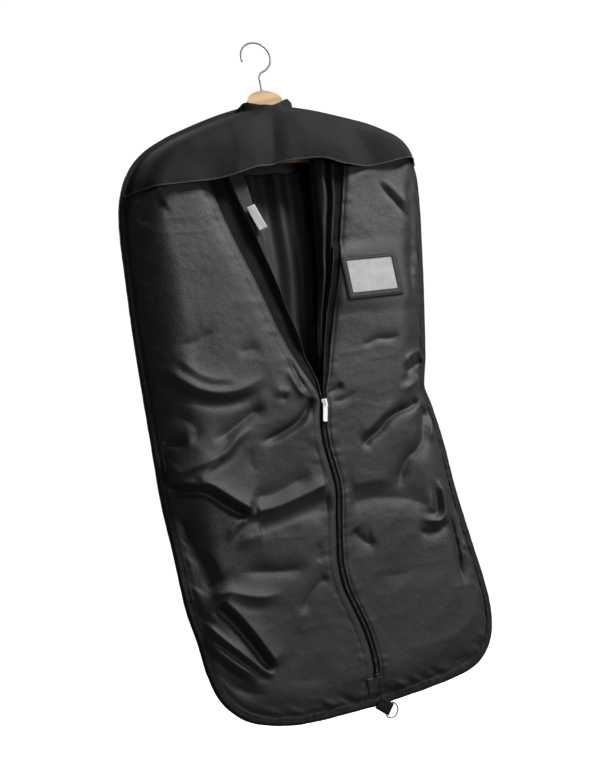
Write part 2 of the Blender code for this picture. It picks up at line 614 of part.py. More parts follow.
neck = finish_object(bpy.data.objects.new("hanger_neck", mesh), WOOD, matrix=upright(0.0))
neck.data.materials.clear()
neck.data.materials.append(WOOD)
bm = bmesh.new()
bmesh.ops.create_cone(bm, cap_ends=True, segments=20, radius1=STEM_BORE, radius2=STEM_BORE, depth=0.040)
bore_mesh = bpy.data.meshes.new("stem_bore")
bm.to_mesh(bore_mesh)
bm.free()
bore = make_helper(bpy.data.objects.new("stem_bore", bore_mesh))
bore.location = (0, 0, NECK_TOP - 0.014)
boolean(neck, bore, "DIFFERENCE")

ARM = smooth_line([(0.0306, -0.163), (0.070, -0.172), (0.115, -0.186), (0.165, -0.2035), (0.212, -0.2265)], 3)
for side, sign in (("left", -1), ("right", 1)):
    sections = []
    step = np.gradient(ARM, axis=0)
    for i, (p, d) in enumerate(zip(ARM, step)):
        d = d / np.linalg.norm(d)
        t = i / (len(ARM) - 1)
        high = 0.0155 + 0.0010 * t - 0.004 * max(0.0, (t - 0.85) / 0.15)
        deep = 0.0088 + 0.0027 * min(1.0, t * 1.6)
        n = np.array([-d[1], d[0]]) if i else np.array([0.0, 1.0])
        sections.append([(sign * (p[0] + n[0] * high * math.sin(a)), -0.0005 + deep * math.cos(a), p[1] + n[1] * high * math.sin(a))
                         for a in np.linspace(0, 2 * math.pi, 17)[:-1]])
    loft(f"hanger_arm_{side}", sections, WOOD)
    box(f"bar_bracket_{side}", (0.0020, 0.0120, 0.0175), (sign * 0.1765, -0.0005, -0.2385), STEEL, bevel=0.0006)
wire("trouser_bar", [(-0.1748, -0.0005, -0.2385), (0.1748, -0.0005, -0.2385)], 0.0055, WOOD, resolution=4)
turned("hook_ferrule", [(STEM_BORE, 0.0032), (0.0042, 0.0032), (0.0060, 0.0018), (0.0060, 0.0), (STEM_BORE, 0.0)],
       (0, 0, NECK_TOP + 0.0004), CHROME)
arc = [(-HOOK_R * math.cos(math.radians(a)), HOOK_R * math.sin(math.radians(a)) - HOOK_R + WIRE_R)
       for a in range(-18, 188, 12)]
tail = smooth_line([(HOOK_R * math.cos(math.radians(6)), -HOOK_R + WIRE_R - 0.0031), (0.0265, -0.0430), (0.0165, -0.0540), (0.0050, -0.0605), (0.0, -0.0690), (0.0, -0.0760)], 3)
stem = [(0.0, -0.090), (0.0, -0.105), (0.0, -0.126)]
hook_pts = [(x, 0.0, z) for x, z in arc + [tuple(p) for p in tail[1:]] + stem]
wire("hook", hook_pts, WIRE_R, CHROME, resolution=3)
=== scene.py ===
import math

import bpy
import numpy as np
from mathutils import Matrix, Vector


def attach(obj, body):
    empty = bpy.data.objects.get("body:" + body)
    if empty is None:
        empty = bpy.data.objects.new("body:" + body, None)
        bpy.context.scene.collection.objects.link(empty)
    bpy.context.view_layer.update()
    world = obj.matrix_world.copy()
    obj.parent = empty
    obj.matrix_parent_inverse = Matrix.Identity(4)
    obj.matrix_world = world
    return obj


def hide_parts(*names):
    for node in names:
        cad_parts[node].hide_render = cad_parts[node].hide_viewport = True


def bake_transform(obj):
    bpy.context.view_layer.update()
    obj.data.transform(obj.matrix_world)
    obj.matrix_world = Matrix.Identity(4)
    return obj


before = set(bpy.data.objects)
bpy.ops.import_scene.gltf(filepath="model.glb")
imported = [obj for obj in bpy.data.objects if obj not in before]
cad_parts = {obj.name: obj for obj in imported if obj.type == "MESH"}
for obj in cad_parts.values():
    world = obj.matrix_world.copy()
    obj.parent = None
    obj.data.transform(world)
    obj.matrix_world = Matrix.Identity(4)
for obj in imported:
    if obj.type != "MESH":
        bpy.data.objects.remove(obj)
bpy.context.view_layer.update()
scene = bpy.context.scene
RNG = np.random.RandomState(11)

# ------------------------------------------------------------------ camera
YAW, PITCH, ROLL = math.radians(22.1), math.radians(7.98), math.radians(10.1)
f = Vector((math.sin(YAW) * math.cos(PITCH), math.cos(YAW) * math.cos(PITCH), math.sin(PITCH)))
r = Vector((math.cos(YAW), -math.sin(YAW), 0.0))
u = r.cross(f)
X = r * math.cos(ROLL) - u * math.sin(ROLL)
Y = r * math.sin(ROLL) + u * math.cos(ROLL)
cam_data = bpy.data.cameras.new("camera")
cam_data.sensor_width = 36.0
cam_data.lens = 51.61
cam = bpy.data.objects.new("camera", cam_data)
scene.collection.objects.link(cam)
M = Matrix.Identity(4)
for i in range(3):
    M[i][0], M[i][1], M[i][2] = X[i], Y[i], -f[i]
M[0][3], M[1][3], M[2][3] = -0.776, -1.844, -0.945
cam.matrix_world = M
scene.camera = cam

# ------------------------------------------------------------------ measures of the bag
FOLD_Z = -0.688
SEAM_Y = 0.0090
BACK_Y = 0.0208
LEFT_UP = [(-0.047, -0.127), (-0.100, -0.142), (-0.160, -0.164), (-0.213, -0.187), (-0.255, -0.214), (-0.284, -0.248),
           (-0.303, -0.290), (-0.313, -0.345), (-0.317, -0.450), (-0.319, -0.570), (-0.318, FOLD_Z)]
RIGHT_UP = [(0.047, -0.126), (0.100, -0.135), (0.160, -0.150), (0.218, -0.167), (0.263, -0.190), (0.292, -0.224),
            (0.303, -0.270), (0.299, -0.330), (0.284, -0.430), (0.265, -0.540), (0.246, -0.640), (0.233, FOLD_Z)]
LEFT_LOW = [(-0.318, FOLD_Z), (-0.317, -0.760), (-0.316, -0.840), (-0.309, -0.930), (-0.302, -1.030), (-0.291, -1.090),
            (-0.283, -1.145), (-0.266, -1.195), (-0.230, -1.233), (-0.178, -1.253), (-0.113, -1.262), (0.010, -1.261)]
RIGHT_LOW = [(0.233, FOLD_Z), (0.231, -0.706), (0.239, -0.745), (0.248, -0.810), (0.254, -0.900), (0.266, -1.000),
             (0.277, -1.080), (0.279, -1.140), (0.268, -1.188), (0.242, -1.221), (0.205, -1.239), (0.130, -1.251),
             (0.010, -1.261)]
HEM = [(-0.2935, -0.293), (-0.257, -0.297), (-0.196, -0.294), (-0.115, -0.285), (-0.059, -0.271), (0.002, -0.260),
       (0.058, -0.258), (0.083, -0.262), (0.112, -0.272), (0.151, -0.276), (0.187, -0.274), (0.240, -0.266),
       (0.2920, -0.258)]
ZIP_TOP = np.array((-0.004, -0.0405, -0.705))
ZIP_BOTTOM = np.array((0.018, -0.0055, -1.205))
V_HEAD_Z = -0.235


def smooth_line(points, step):
    """Points along a smooth curve through the given ones, about step apart."""
    P = np.array(points, float)
    P = np.vstack([2 * P[0] - P[1], P, 2 * P[-1] - P[-2]])
    out = []
    for i in range(1, len(P) - 2):
        a, b, c, d = P[i - 1], P[i], P[i + 1], P[i + 2]
        n = max(2, int(math.ceil(np.linalg.norm(c - b) / step)))
        t = (np.arange(n) / n)[:, None]
        out.append(0.5 * (2 * b + (c - a) * t + (2 * a - 5 * b + 4 * c - d) * t ** 2 + (3 * b - a - 3 * c + d) * t ** 3))
    out.append(P[-2][None])
    return np.vstack(out)


def even_line(P, step):
    """The same polyline, with points at equal distances."""
    P = np.array(P, float)
    s = np.r_[0, np.cumsum(np.linalg.norm(np.diff(P, axis=0), axis=1))]
    n = max(2, int(round(s[-1] / step)) + 1)
    t = np.linspace(0, s[-1], n)
    return np.stack([np.interp(t, s, P[:, k]) for k in range(P.shape[1])], axis=1)


def step01(x, a, b):
    t = np.clip((np.asarray(x, float) - a) / (b - a), 0, 1)
    return t * t * (3 - 2 * t)


LU, RU = smooth_line(LEFT_UP, 0.006), smooth_line(RIGHT_UP, 0.006)
LL, RL = smooth_line(LEFT_LOW, 0.006), smooth_line(RIGHT_LOW, 0.006)
LEFT_EDGE = np.vstack([LU, LL[1:]])
RIGHT_EDGE = np.vstack([RU, RL[1:]])
OUTLINE = np.vstack([LEFT_EDGE, RIGHT_EDGE[::-1][1:]])


def near_line(P, line):
    """For each point: distance to the polyline, share of its length there, and the signed side (positive on the right of travel)."""
    P = np.asarray(P, float).reshape(-1, 2)
    line = np.asarray(line, float)
    A, B = line[:-1], line[1:]
    D = B - A
    L = np.linalg.norm(D, axis=1)
    cum = np.r_[0, np.cumsum(L)]
    best = np.full(len(P), 1e9)
    where = np.zeros(len(P))
    side = np.zeros(len(P))
    for k in range(len(A)):
        rel = P - A[k]
        t = np.clip((rel @ D[k]) / L[k] ** 2, 0, 1)
        off = rel - t[:, None] * D[k]
        dist = np.hypot(off[:, 0], off[:, 1])
        cross = (rel[:, 0] * D[k][1] - rel[:, 1] * D[k][0]) / L[k]
        m = dist < best
        best[m] = dist[m]
        where[m] = (cum[k] + t[m] * L[k]) / cum[-1]
        side[m] = np.sign(cross[m])
    return best, where, side * best


def inside(P, poly):
    P = np.asarray(P, float).reshape(-1, 2)
    c = np.zeros(len(P), bool)
    n = len(poly)
    for i in range(n):
        x1, z1 = poly[i]
        x2, z2 = poly[(i + 1) % n]
        if z1 == z2:
            continue
        m = ((z1 > P[:, 1]) != (z2 > P[:, 1])) & (P[:, 0] < (x2 - x1) * (P[:, 1] - z1) / (z2 - z1) + x1)
        c ^= m
    return c


# distance in from the outline, kept on a fine grid and read by interpolation
GX0, GX1, GZ0, GZ1, GS = -0.335, 0.320, -1.280, -0.090, 0.0035
_gx = np.arange(GX0, GX1 + GS, GS)
_gz = np.arange(GZ0, GZ1 + GS, GS)
_mx, _mz = np.meshgrid(_gx, _gz, indexing="ij")
_pts = np.stack([_mx.ravel(), _mz.ravel()], axis=1)
_d, _, _ = near_line(_pts, even_line(OUTLINE, 0.008))
_in = inside(_pts, OUTLINE)
DIST = np.where(_in, _d, -_d).reshape(_mx.shape)


def read_grid(G, x, z):
    fx = np.clip((np.asarray(x, float) - GX0) / GS, 0, len(_gx) - 1.001)
    fz = np.clip((np.asarray(z, float) - GZ0) / GS, 0, len(_gz) - 1.001)
    i, j = fx.astype(int), fz.astype(int)
    a, b = fx - i, fz - j
    return G[i, j] * (1 - a) * (1 - b) + G[i + 1, j] * a * (1 - b) + G[i, j + 1] * (1 - a) * b + G[i + 1, j + 1] * a * b


def edge_dist(x, z):
    return read_grid(DIST, x, z)


def noise2(x, z, scale, seed, stretch=(1.0, 1.0)):
    """Smooth value noise in -1..1."""
    rs = np.random.RandomState(seed)
    G = rs.rand(64, 64) * 2 - 1
    a = np.asarray(x, float) / (scale * stretch[0]) + 31.7
    b = np.asarray(z, float) / (scale * stretch[1]) + 47.3
    i, j = np.floor(a).astype(int), np.floor(b).astype(int)
    s, t = a - i, b - j
    s, t = s * s * s * (s * (6 * s - 15) + 10), t * t * t * (t * (6 * t - 15) + 10)
    g = lambda p, q: G[p % 64, q % 64]
    return (g(i, j) * (1 - s) * (1 - t) + g(i + 1, j) * s * (1 - t) + g(i, j + 1) * (1 - s) * t + g(i + 1, j + 1) * s * t)


# ------------------------------------------------------------------ zip line and the V opening
ZX = [(-0.150, 0.000), (-0.600, -0.001), (-0.690, -0.004), (-0.705, -0.004), (-0.725, -0.0062), (-0.742, -0.0095),
      (-0.762, -0.0120), (-0.789, -0.0115), (-0.819, -0.0075), (-0.857, -0.0020), (-0.882, -0.0025), (-0.922, -0.0090),
      (-0.965, -0.0150), (-1.000, -0.0185), (-1.044, -0.0150), (-1.085, -0.0020), (-1.130, 0.0120), (-1.176, 0.0190),
      (-1.205, 0.0180), (-1.238, 0.0110), (-1.262, 0.0100)]
_zl = smooth_line(ZX, 0.004)


def zip_x(z):
    return np.interp(-np.asarray(z, float), -_zl[:, 0], _zl[:, 1])


def zip_y(z):
    t = (ZIP_TOP[2] - np.asarray(z, float)) / 0.5
    return ZIP_TOP[1] + t * 0.035


OPEN_Y0 = float(zip_y(FOLD_Z))


CHAIN_LEFT = smooth_line([(-0.235, 0.1300), (-0.298, 0.1130), (-0.356, 0.0965), (-0.418, 0.0775), (-0.500, 0.0540),
                          (-0.562, 0.0385), (-0.630, 0.0195), (-0.674, 0.0085), (-0.712, 0.0032)], 0.004)
CHAIN_RIGHT = smooth_line([(-0.235, 0.1185), (-0.291, 0.1030), (-0.396, 0.0775), (-0.474, 0.0580), (-0.529, 0.0425),
                           (-0.575, 0.0300), (-0.632, 0.0150), (-0.675, 0.0065), (-0.712, 0.0030)], 0.004)
EDGE_LEFT = smooth_line([(-0.235, 0.1600), (-0.297, 0.1440), (-0.364, 0.1270), (-0.421, 0.1090), (-0.498, 0.0830), (-0.565, 0.0635),
                         (-0.627, 0.0400), (-0.661, 0.0260), (-0.692, 0.0105), (-0.712, 0.0052)], 0.004)
EDGE_RIGHT = smooth_line([(-0.235, 0.1300), (-0.291, 0.1140), (-0.396, 0.0885), (-0.474, 0.0690), (-0.529, 0.0520), (-0.575, 0.0385),
                          (-0.632, 0.0220), (-0.675, 0.0110), (-0.695, 0.0070), (-0.712, 0.0052)], 0.004)


def open_half(z, side=-1):
    """Half width of the parted chain, from the middle line."""
    line = CHAIN_LEFT if side < 0 else CHAIN_RIGHT
    return np.interp(-np.asarray(z, float), -line[:, 0], line[:, 1])


def open_y(z):
    t = np.clip((np.asarray(z, float) - FOLD_Z) / (V_HEAD_Z - FOLD_Z), 0, 1.2)
    return OPEN_Y0 + t * (-0.053 - OPEN_Y0)


def fullness(z):
    z = np.asarray(z, float)
    low = SEAM_Y - zip_y(z)
    mid = SEAM_Y - open_y(z)
    t = np.clip((z - V_HEAD_Z) / 0.11, 0, 1)
    t = t * t * (3 - 2 * t)
    return np.where(z < FOLD_Z, low, np.where(z < V_HEAD_Z, mid, 0.062 + t * (0.038 - 0.062)))


def panel_edge(z, side):
    """x of the panel's inner edge, side -1 left or +1 right."""
    z = np.asarray(z, float)
    ease = step01(z, -0.712, -0.600)
    line = EDGE_LEFT if side < 0 else EDGE_RIGHT
    half = np.interp(-z, -line[:, 0], line[:, 1])
    return zip_x(z) * (1 - ease) + side * half


# ------------------------------------------------------------------ folds of the front
FOLDS = []


def fold(points, h, up, down, g=0.0, c=0.02, cw=None, fade=(0.2, 0.2), p=1.6, out=0.012):
    """A crest of height h (towards the viewer, negative for a crease) along points, up wide on the left of travel and down
    wide on the right, with a trough g deep at c on the right."""
    FOLDS.append((even_line(smooth_line(points, 0.006), 0.008), h, up, down, g, c, cw or c * 0.6, fade, p, out))


# left panel, from the top
fold([(-0.300, -0.335), (-0.285, -0.320), (-0.262, -0.306), (-0.235, -0.298)], 0.006, 0.006, 0.006, 0.004, 0.014)
fold([(-0.285, -0.355), (-0.262, -0.335), (-0.238, -0.322)], -0.007, 0.010, 0.010)
fold([(-0.268, -0.598), (-0.248, -0.584), (-0.225, -0.580), (-0.200, -0.570), (-0.172, -0.566)],
     -0.0040, 0.009, 0.014, fade=(0.35, 0.4))
fold([(-0.288, -0.612), (-0.268, -0.638), (-0.240, -0.661), (-0.205, -0.674), (-0.165, -0.675), (-0.130, -0.664), (-0.098, -0.646)],
     0.0075, 0.016, 0.008, 0.006, 0.018, fade=(0.15, 0.35))
fold([(-0.262, -0.600), (-0.240, -0.628), (-0.214, -0.646), (-0.186, -0.652), (-0.160, -0.652)], 0.0022, 0.009, 0.006, 0.002, 0.012)
fold([(-0.156, -0.600), (-0.130, -0.605), (-0.105, -0.598)], -0.003, 0.010, 0.012, fade=(0.4, 0.4))
fold([(-0.056, -0.612), (-0.049, -0.640), (-0.043, -0.664), (-0.034, -0.690)], -0.005, 0.004, 0.006, fade=(0.4, 0.2))
fold([(-0.066, -0.640), (-0.058, -0.668), (-0.048, -0.690), (-0.036, -0.704)], 0.0045, 0.006, 0.005, fade=(0.4, 0.2))
fold([(-0.100, -0.690), (-0.078, -0.684), (-0.062, -0.694)], 0.003, 0.008, 0.008, 0.003, 0.012, fade=(0.4, 0.3))
fold([(-0.024, -0.702), (-0.036, -0.722), (-0.058, -0.742), (-0.092, -0.757), (-0.140, -0.772)], -0.0105, 0.007, 0.006,
     fade=(0.05, 0.3), p=1.4)
fold([(-0.030, -0.722), (-0.050, -0.750), (-0.090, -0.770), (-0.130, -0.786)], 0.004, 0.010, 0.006, fade=(0.2, 0.4))
fold([(-0.225, -0.757), (-0.190, -0.745), (-0.160, -0.728), (-0.135, -0.714), (-0.112, -0.709)], -0.0085, 0.013, 0.009,
     fade=(0.3, 0.2))
fold([(-0.308, -0.806), (-0.275, -0.798), (-0.238, -0.790), (-0.205, -0.780), (-0.180, -0.758), (-0.155, -0.745), (-0.135, -0.748)],
     0.0065, 0.007, 0.008, 0.003, 0.014, fade=(0.1, 0.3), p=1.3)
fold([(-0.262, -0.822), (-0.240, -0.806), (-0.215, -0.790)], 0.004, 0.006, 0.008, fade=(0.2, 0.3))
fold([(-0.290, -0.700), (-0.262, -0.712), (-0.245, -0.735), (-0.262, -0.762)], -0.005, 0.014, 0.014, fade=(0.3, 0.3))
fold([(-0.300, -0.742), (-0.285, -0.748), (-0.262, -0.752)], -0.010, 0.007, 0.007, fade=(0.1, 0.3))
fold([(-0.150, -0.770), (-0.160, -0.800), (-0.145, -0.822)], -0.003, 0.012, 0.012, fade=(0.4, 0.4))
# the long crest that crosses the left half, with its black underside
fold([(-0.318, -0.778), (-0.302, -0.806), (-0.275, -0.822), (-0.243, -0.829), (-0.220, -0.845), (-0.192, -0.868), (-0.163, -0.888)],
     0.0115, 0.016, 0.0045, 0.0135, 0.012, cw=0.009, fade=(0.06, 0.1), p=1.3)
fold([(-0.168, -0.888), (-0.125, -0.884), (-0.085, -0.875), (-0.045, -0.864), (-0.014, -0.858)], 0.0085, 0.010, 0.009, 0.008, 0.030,
     cw=0.020, fade=(0.08, 0.12), p=1.3)
fold([(-0.170, -0.863), (-0.125, -0.862), (-0.085, -0.850), (-0.045, -0.838)], -0.0060, 0.013, 0.010, fade=(0.2, 0.25))
fold([(-0.222, -0.935), (-0.208, -0.910), (-0.185, -0.895), (-0.160, -0.888)], 0.0050, 0.006, 0.007, 0.003, 0.012, fade=(0.3, 0.1))
fold([(-0.215, -0.934), (-0.165, -0.930), (-0.100, -0.920), (-0.035, -0.908)], 0.0050, 0.012, 0.016, fade=(0.2, 0.3), p=1.5)
# the dark hollow down the left side and its lower folds
fold([(-0.296, -0.850), (-0.285, -0.900), (-0.270, -0.945), (-0.258, -0.985), (-0.250, -1.020)], -0.0140, 0.016, 0.017,
     fade=(0.3, 0.15))
fold([(-0.262, -0.930), (-0.245, -0.960), (-0.236, -0.995)], 0.0040, 0.012, 0.006, fade=(0.3, 0.3))
fold([(-0.210, -0.984), (-0.160, -0.992), (-0.110, -0.998), (-0.075, -0.994)], -0.0070, 0.012, 0.012, fade=(0.3, 0.3))
fold([(-0.262, -1.014), (-0.232, -1.014), (-0.200, -1.026), (-0.165, -1.034), (-0.125, -1.030)], 0.0070, 0.009, 0.010, 0.002, 0.018,
     fade=(0.1, 0.4), p=1.3)
fold([(-0.246, -1.024), (-0.222, -1.052), (-0.196, -1.092), (-0.172, -1.135), (-0.160, -1.158)], 0.0085, 0.012, 0.0045, 0.0125, 0.013,
     cw=0.010, fade=(0.08, 0.15), p=1.3)
fold([(-0.277, -1.060), (-0.250, -1.092), (-0.220, -1.124), (-0.186, -1.158), (-0.166, -1.168)], 0.0075, 0.005, 0.005, 0.004, 0.010,
     fade=(0.1, 0.2), p=1.2)
fold([(-0.282, -1.086), (-0.256, -1.116), (-0.226, -1.146), (-0.196, -1.168)], 0.0050, 0.005, 0.005, 0.006, 0.014, fade=(0.2, 0.3),
     p=1.3)
fold([(-0.272, -1.130), (-0.250, -1.160), (-0.220, -1.186), (-0.180, -1.200)], -0.0060, 0.010, 0.012, fade=(0.2, 0.4))
fold([(-0.108, -1.078), (-0.085, -1.048), (-0.062, -1.028), (-0.045, -1.018)], -0.0045, 0.008, 0.007, fade=(0.3, 0.15))
fold([(-0.120, -1.110), (-0.105, -1.080), (-0.090, -1.070)], 0.0020, 0.010, 0.010, fade=(0.4, 0.4))
fold([(-0.150, -1.180), (-0.100, -1.190), (-0.050, -1.185)], -0.0020, 0.020, 0.020, fade=(0.4, 0.4))
fold([(-0.060, -0.955), (-0.055, -0.975), (-0.062, -0.995)], -0.003, 0.007, 0.007, fade=(0.4, 0.3))
# right panel, from the top
fold([(0.262, -0.292), (0.268, -0.335), (0.262, -0.400), (0.250, -0.470), (0.240, -0.535)], 0.0060, 0.007, 0.009, 0.005, 0.017,
     fade=(0.15, 0.3), p=1.3)
fold([(0.178, -0.300), (0.200, -0.330), (0.222, -0.360), (0.243, -0.386)], -0.0045, 0.005, 0.005, fade=(0.4, 0.15), p=1.3)
fold([(0.190, -0.300), (0.220, -0.335), (0.240, -0.362)], 0.0025, 0.007, 0.006, fade=(0.3, 0.2))
fold([(0.232, -0.420), (0.230, -0.470), (0.222, -0.530), (0.215, -0.590)], -0.0045, 0.008, 0.010, fade=(0.3, 0.3))
fold([(0.083, -0.618), (0.105, -0.616), (0.124, -0.609), (0.150, -0.611), (0.178, -0.604)], -0.0045, 0.006, 0.005, fade=(0.3, 0.3))
fold([(0.040, -0.560), (0.080, -0.565), (0.120, -0.555)], 0.0015, 0.020, 0.020, fade=(0.4, 0.4))
fold([(0.232, -0.652), (0.212, -0.660), (0.192, -0.668), (0.168, -0.684)], -0.0120, 0.008, 0.009, fade=(0.05, 0.3), p=1.5)
fold([(0.232, -0.636), (0.205, -0.640), (0.180, -0.652), (0.165, -0.672)], 0.0055, 0.008, 0.006, fade=(0.1, 0.3))
fold([(0.226, -0.692), (0.200, -0.694), (0.170, -0.706), (0.145, -0.712)], 0.0055, 0.007, 0.008, 0.003, 0.014, fade=(0.1, 0.4))
fold([(0.228, -0.704), (0.210, -0.716), (0.190, -0.722)], -0.0040, 0.006, 0.006, fade=(0.1, 0.4))
fold([(0.006, -0.698), (0.022, -0.694), (0.040, -0.684)], -0.0060, 0.005, 0.006, fade=(0.1, 0.3))
fold([(0.012, -0.716), (0.040, -0.712), (0.062, -0.700)], -0.0030, 0.004, 0.005, fade=(0.2, 0.4))
fold([(0.056, -0.806), (0.078, -0.788), (0.100, -0.777), (0.120, -0.760), (0.145, -0.748), (0.172, -0.742), (0.200, -0.728)],
     -0.0115, 0.007, 0.006, fade=(0.12, 0.12), p=1.5)
fold([(0.050, -0.792), (0.085, -0.766), (0.115, -0.748), (0.150, -0.735)], 0.0045, 0.014, 0.006, fade=(0.3, 0.3))
fold([(0.216, -0.742), (0.200, -0.770), (0.190, -0.800), (0.172, -0.822), (0.150, -0.836), (0.130, -0.866), (0.120, -0.900)],
     -0.0110, 0.010, 0.013, fade=(0.1, 0.25))
fold([(0.230, -0.750), (0.214, -0.785), (0.206, -0.815)], 0.0060, 0.006, 0.006, fade=(0.2, 0.3))
fold([(0.010, -0.900), (0.060, -0.896), (0.110, -0.902), (0.150, -0.914), (0.176, -0.930)], -0.0080, 0.026, 0.020, fade=(0.15, 0.15))
fold([(0.020, -0.868), (0.070, -0.866), (0.110, -0.872)], 0.0035, 0.014, 0.012, fade=(0.2, 0.3))
fold([(0.205, -0.880), (0.206, -0.915), (0.204, -0.945), (0.190, -0.958), (0.168, -0.955), (0.150, -0.948)], 0.0075, 0.006, 0.006,
     0.006, 0.013, fade=(0.2, 0.3), p=1.3)
fold([(0.212, -0.960), (0.190, -0.978), (0.160, -0.976), (0.138, -0.966)], -0.0060, 0.007, 0.009, fade=(0.2, 0.3))
fold([(0.016, -0.944), (0.026, -0.962), (0.044, -0.976), (0.060, -0.972)], -0.0060, 0.010, 0.010, fade=(0.2, 0.3))
fold([(0.234, -0.890), (0.236, -0.940), (0.240, -1.000), (0.246, -1.050)], -0.0070, 0.005, 0.005, fade=(0.3, 0.3))
fold([(0.222, -0.950), (0.224, -1.000), (0.222, -1.050), (0.224, -1.090)], -0.0080, 0.005, 0.005, fade=(0.15, 0.3), p=1.5)
fold([(0.230, -0.940), (0.232, -1.000), (0.232, -1.060)], 0.0050, 0.005, 0.005, fade=(0.2, 0.3))
fold([(0.040, -1.035), (0.100, -1.040), (0.160, -1.030)], -0.0020, 0.012, 0.012, fade=(0.4, 0.4))
fold([(0.060, -1.170), (0.110, -1.176), (0.170, -1.170), (0.215, -1.150)], 0.0020, 0.016, 0.016, fade=(0.4, 0.4))


def add_folds(x, z):
    P = np.stack([x, z], axis=1)
    H = np.zeros(len(P))
    for line, h, up, down, g, c, cw, fade, p, out in FOLDS:
        reach = 6.0 * max(up, down, c + cw) + out
        lo, hi = line.min(0) - reach, line.max(0) + reach
        m = np.where((P[:, 0] > lo[0]) & (P[:, 0] < hi[0]) & (P[:, 1] > lo[1]) & (P[:, 1] < hi[1]))[0]
        if not len(m):
            continue
        dist, t, side = near_line(P[m], line)
        right = side >= 0
        w = np.where(right, down, up)
        w = w * np.where(right, 1.20, 1.45) * (1.0 if h > 0 else 0.95)
        q = dist / w
        v = 1.22 * h * (0.30 * np.exp(-q ** p) + 0.70 * np.exp(-1.25 * (np.sqrt(q * q + 0.018) - 0.1342)))
        v -= np.where(right, g * np.exp(-((dist - c) / cw) ** 2), 0.0) * (1 - np.exp(-(dist / (0.6 * c)) ** 2))
        v *= step01(t, 0, fade[0]) * (1 - step01(t, 1 - fade[1], 1))
        H[m] += v
    return H


POCKET = np.array((0.1335, -0.0514, -0.488))


def folds_of(x, z):
    """Height of all folds and puckers towards the viewer, at rest."""
    x, z = np.asarray(x, float), np.asarray(z, float)
    H = add_folds(x, z)
    H += 0.0024 * noise2(x, z, 0.120, 3, (1.2, 0.9))
    # crisp small creases: the crests of a folded noise, running mostly down to the right
    a, b = 0.80 * x + 0.60 * z, -0.60 * x + 0.80 * z
    n1 = noise2(a + 0.02 * noise2(x, z, 0.07, 15), b, 0.060, 5, (1.9, 0.8))
    n2 = noise2(x - 0.3 * z, z + 0.012 * noise2(x, z, 0.05, 16), 0.034, 6, (2.2, 0.8))
    H += 0.0016 * (0.5 - np.sqrt(np.abs(n1) ** 2 + 0.004)) + 0.0008 * (0.5 - np.sqrt(np.abs(n2) ** 2 + 0.004))
    H += 0.00022 * noise2(x, z, 0.011, 8)
    d = edge_dist(x, z)
    along = z * 1.0 + x * 0.8
    pucker = noise2(along, z * 0, 0.013, 21) + 0.6 * noise2(along, z * 0, 0.030, 22)
    H += 0.0042 * pucker * np.exp(-((d - 0.020) / 0.012) ** 2) * (0.65 + 0.35 * noise2(x, z, 0.1, 9))
    H -= 0.0026 * np.exp(-((d - 0.0165) / 0.0035) ** 2)
    return H


def seam_terms(x, z):
    """Stitched seams beside the chain and along the V, with their puckers."""
    H = np.zeros(len(x))
    for side, off in ((-1, 0.0215), (1, 0.0105)):
        e = (x - panel_edge(z, side)) * side
        q = e - (off - 0.0052)
        own = x * side > zip_x(z) * side
        ripple = noise2(z, z * 0, 0.0085, 33 + side) * 0.6 + noise2(z, z * 0, 0.017, 36 + side)
        seam = -0.0016 * np.exp(-(q / 0.0022) ** 2)
        puck = 0.0013 * ripple * np.exp(-((q - 0.004) / 0.009) ** 2)
        curl = -0.0030 * np.exp(-(np.maximum(e, 0) / 0.0020) ** 1.5)
        H += np.where(own, seam + puck + curl, 0)
    return H


def keep_flat(x, z):
    """Folds die out under the pocket, at the slider, at the outer seam and at the zip."""
    a = (x - POCKET[0]) / 0.072
    b = (z - POCKET[2]) / 0.056
    m = 1 - 0.85 * np.exp(-(a ** 4 + b ** 4) * 0.7)
    d = edge_dist(x, z)
    m = m * (0.25 + 0.75 * step01(d, 0.010, 0.030))
    c = np.abs(x - zip_x(z))
    near = np.where(z < -0.69, 0.15 + 0.85 * step01(c, 0.004, 0.030), 1.0)
    return m * near


def base_front(x, z):
    d = edge_dist(x, z) - 0.0085
    reach = np.interp(z, [-1.22, -1.05, -0.70, -0.45, -0.27, -0.15], [0.060, 0.066, 0.076, 0.080, 0.050, 0.034])
    s = np.clip(d / reach, 0, 1)
    return SEAM_Y - fullness(z) * (1 - (1 - s) ** 2.0)


def front(x, z):
    """y of the outer face of the front fabric."""
    x = np.asarray(x, float)
    z = np.asarray(z, float)
    shape = x.shape
    x, z = x.ravel(), z.ravel()
    y = base_front(x, z)
    H = folds_of(x, z) * keep_flat(x, z) + seam_terms(x, z)
    # the free edges of the V roll in towards the inside
    up = step01(z, -0.70, -0.60)
    for side, w, deep in ((-1, 0.020, 0.015), (1, 0.010, 0.004)):
        e = (x - panel_edge(z, side)) * side
        own = x * side > 0
        H -= np.where(own, deep * up * np.exp(-(np.maximum(e, 0) / w) ** 1.5), 0)
    y = y - H
    # the cloth lies against the back of the card pocket
    a, b = (x - POCKET[0]) / 0.075, (z - POCKET[2]) / 0.060
    m = np.exp(-(a ** 8 + b ** 8) * 0.8)
    y = y * (1 - m) + (POCKET[1] + 0.0004 + 0.0454 * (x - POCKET[0])) * m
    top = np.where(z < -0.24, -0.0570, -0.0500)
    y = np.where(y < top, top - 0.004 * (1 - np.exp((y - top) / 0.004)), y)
    return np.minimum(y, 0.0120).reshape(shape)


# ------------------------------------------------------------------ materials
def new_material(name):
    m = bpy.data.materials.new(name)
    m.use_nodes = True
    nt = m.node_tree
    return m, nt, nt.nodes["Principled BSDF"]


def node(nt, kind, **inputs):
    n = nt.nodes.new(kind)
    for k, v in inputs.items():
        if hasattr(n, k):
            setattr(n, k, v)
        else:
            n.inputs[k.replace("_", " ")].default_value = v
    return n


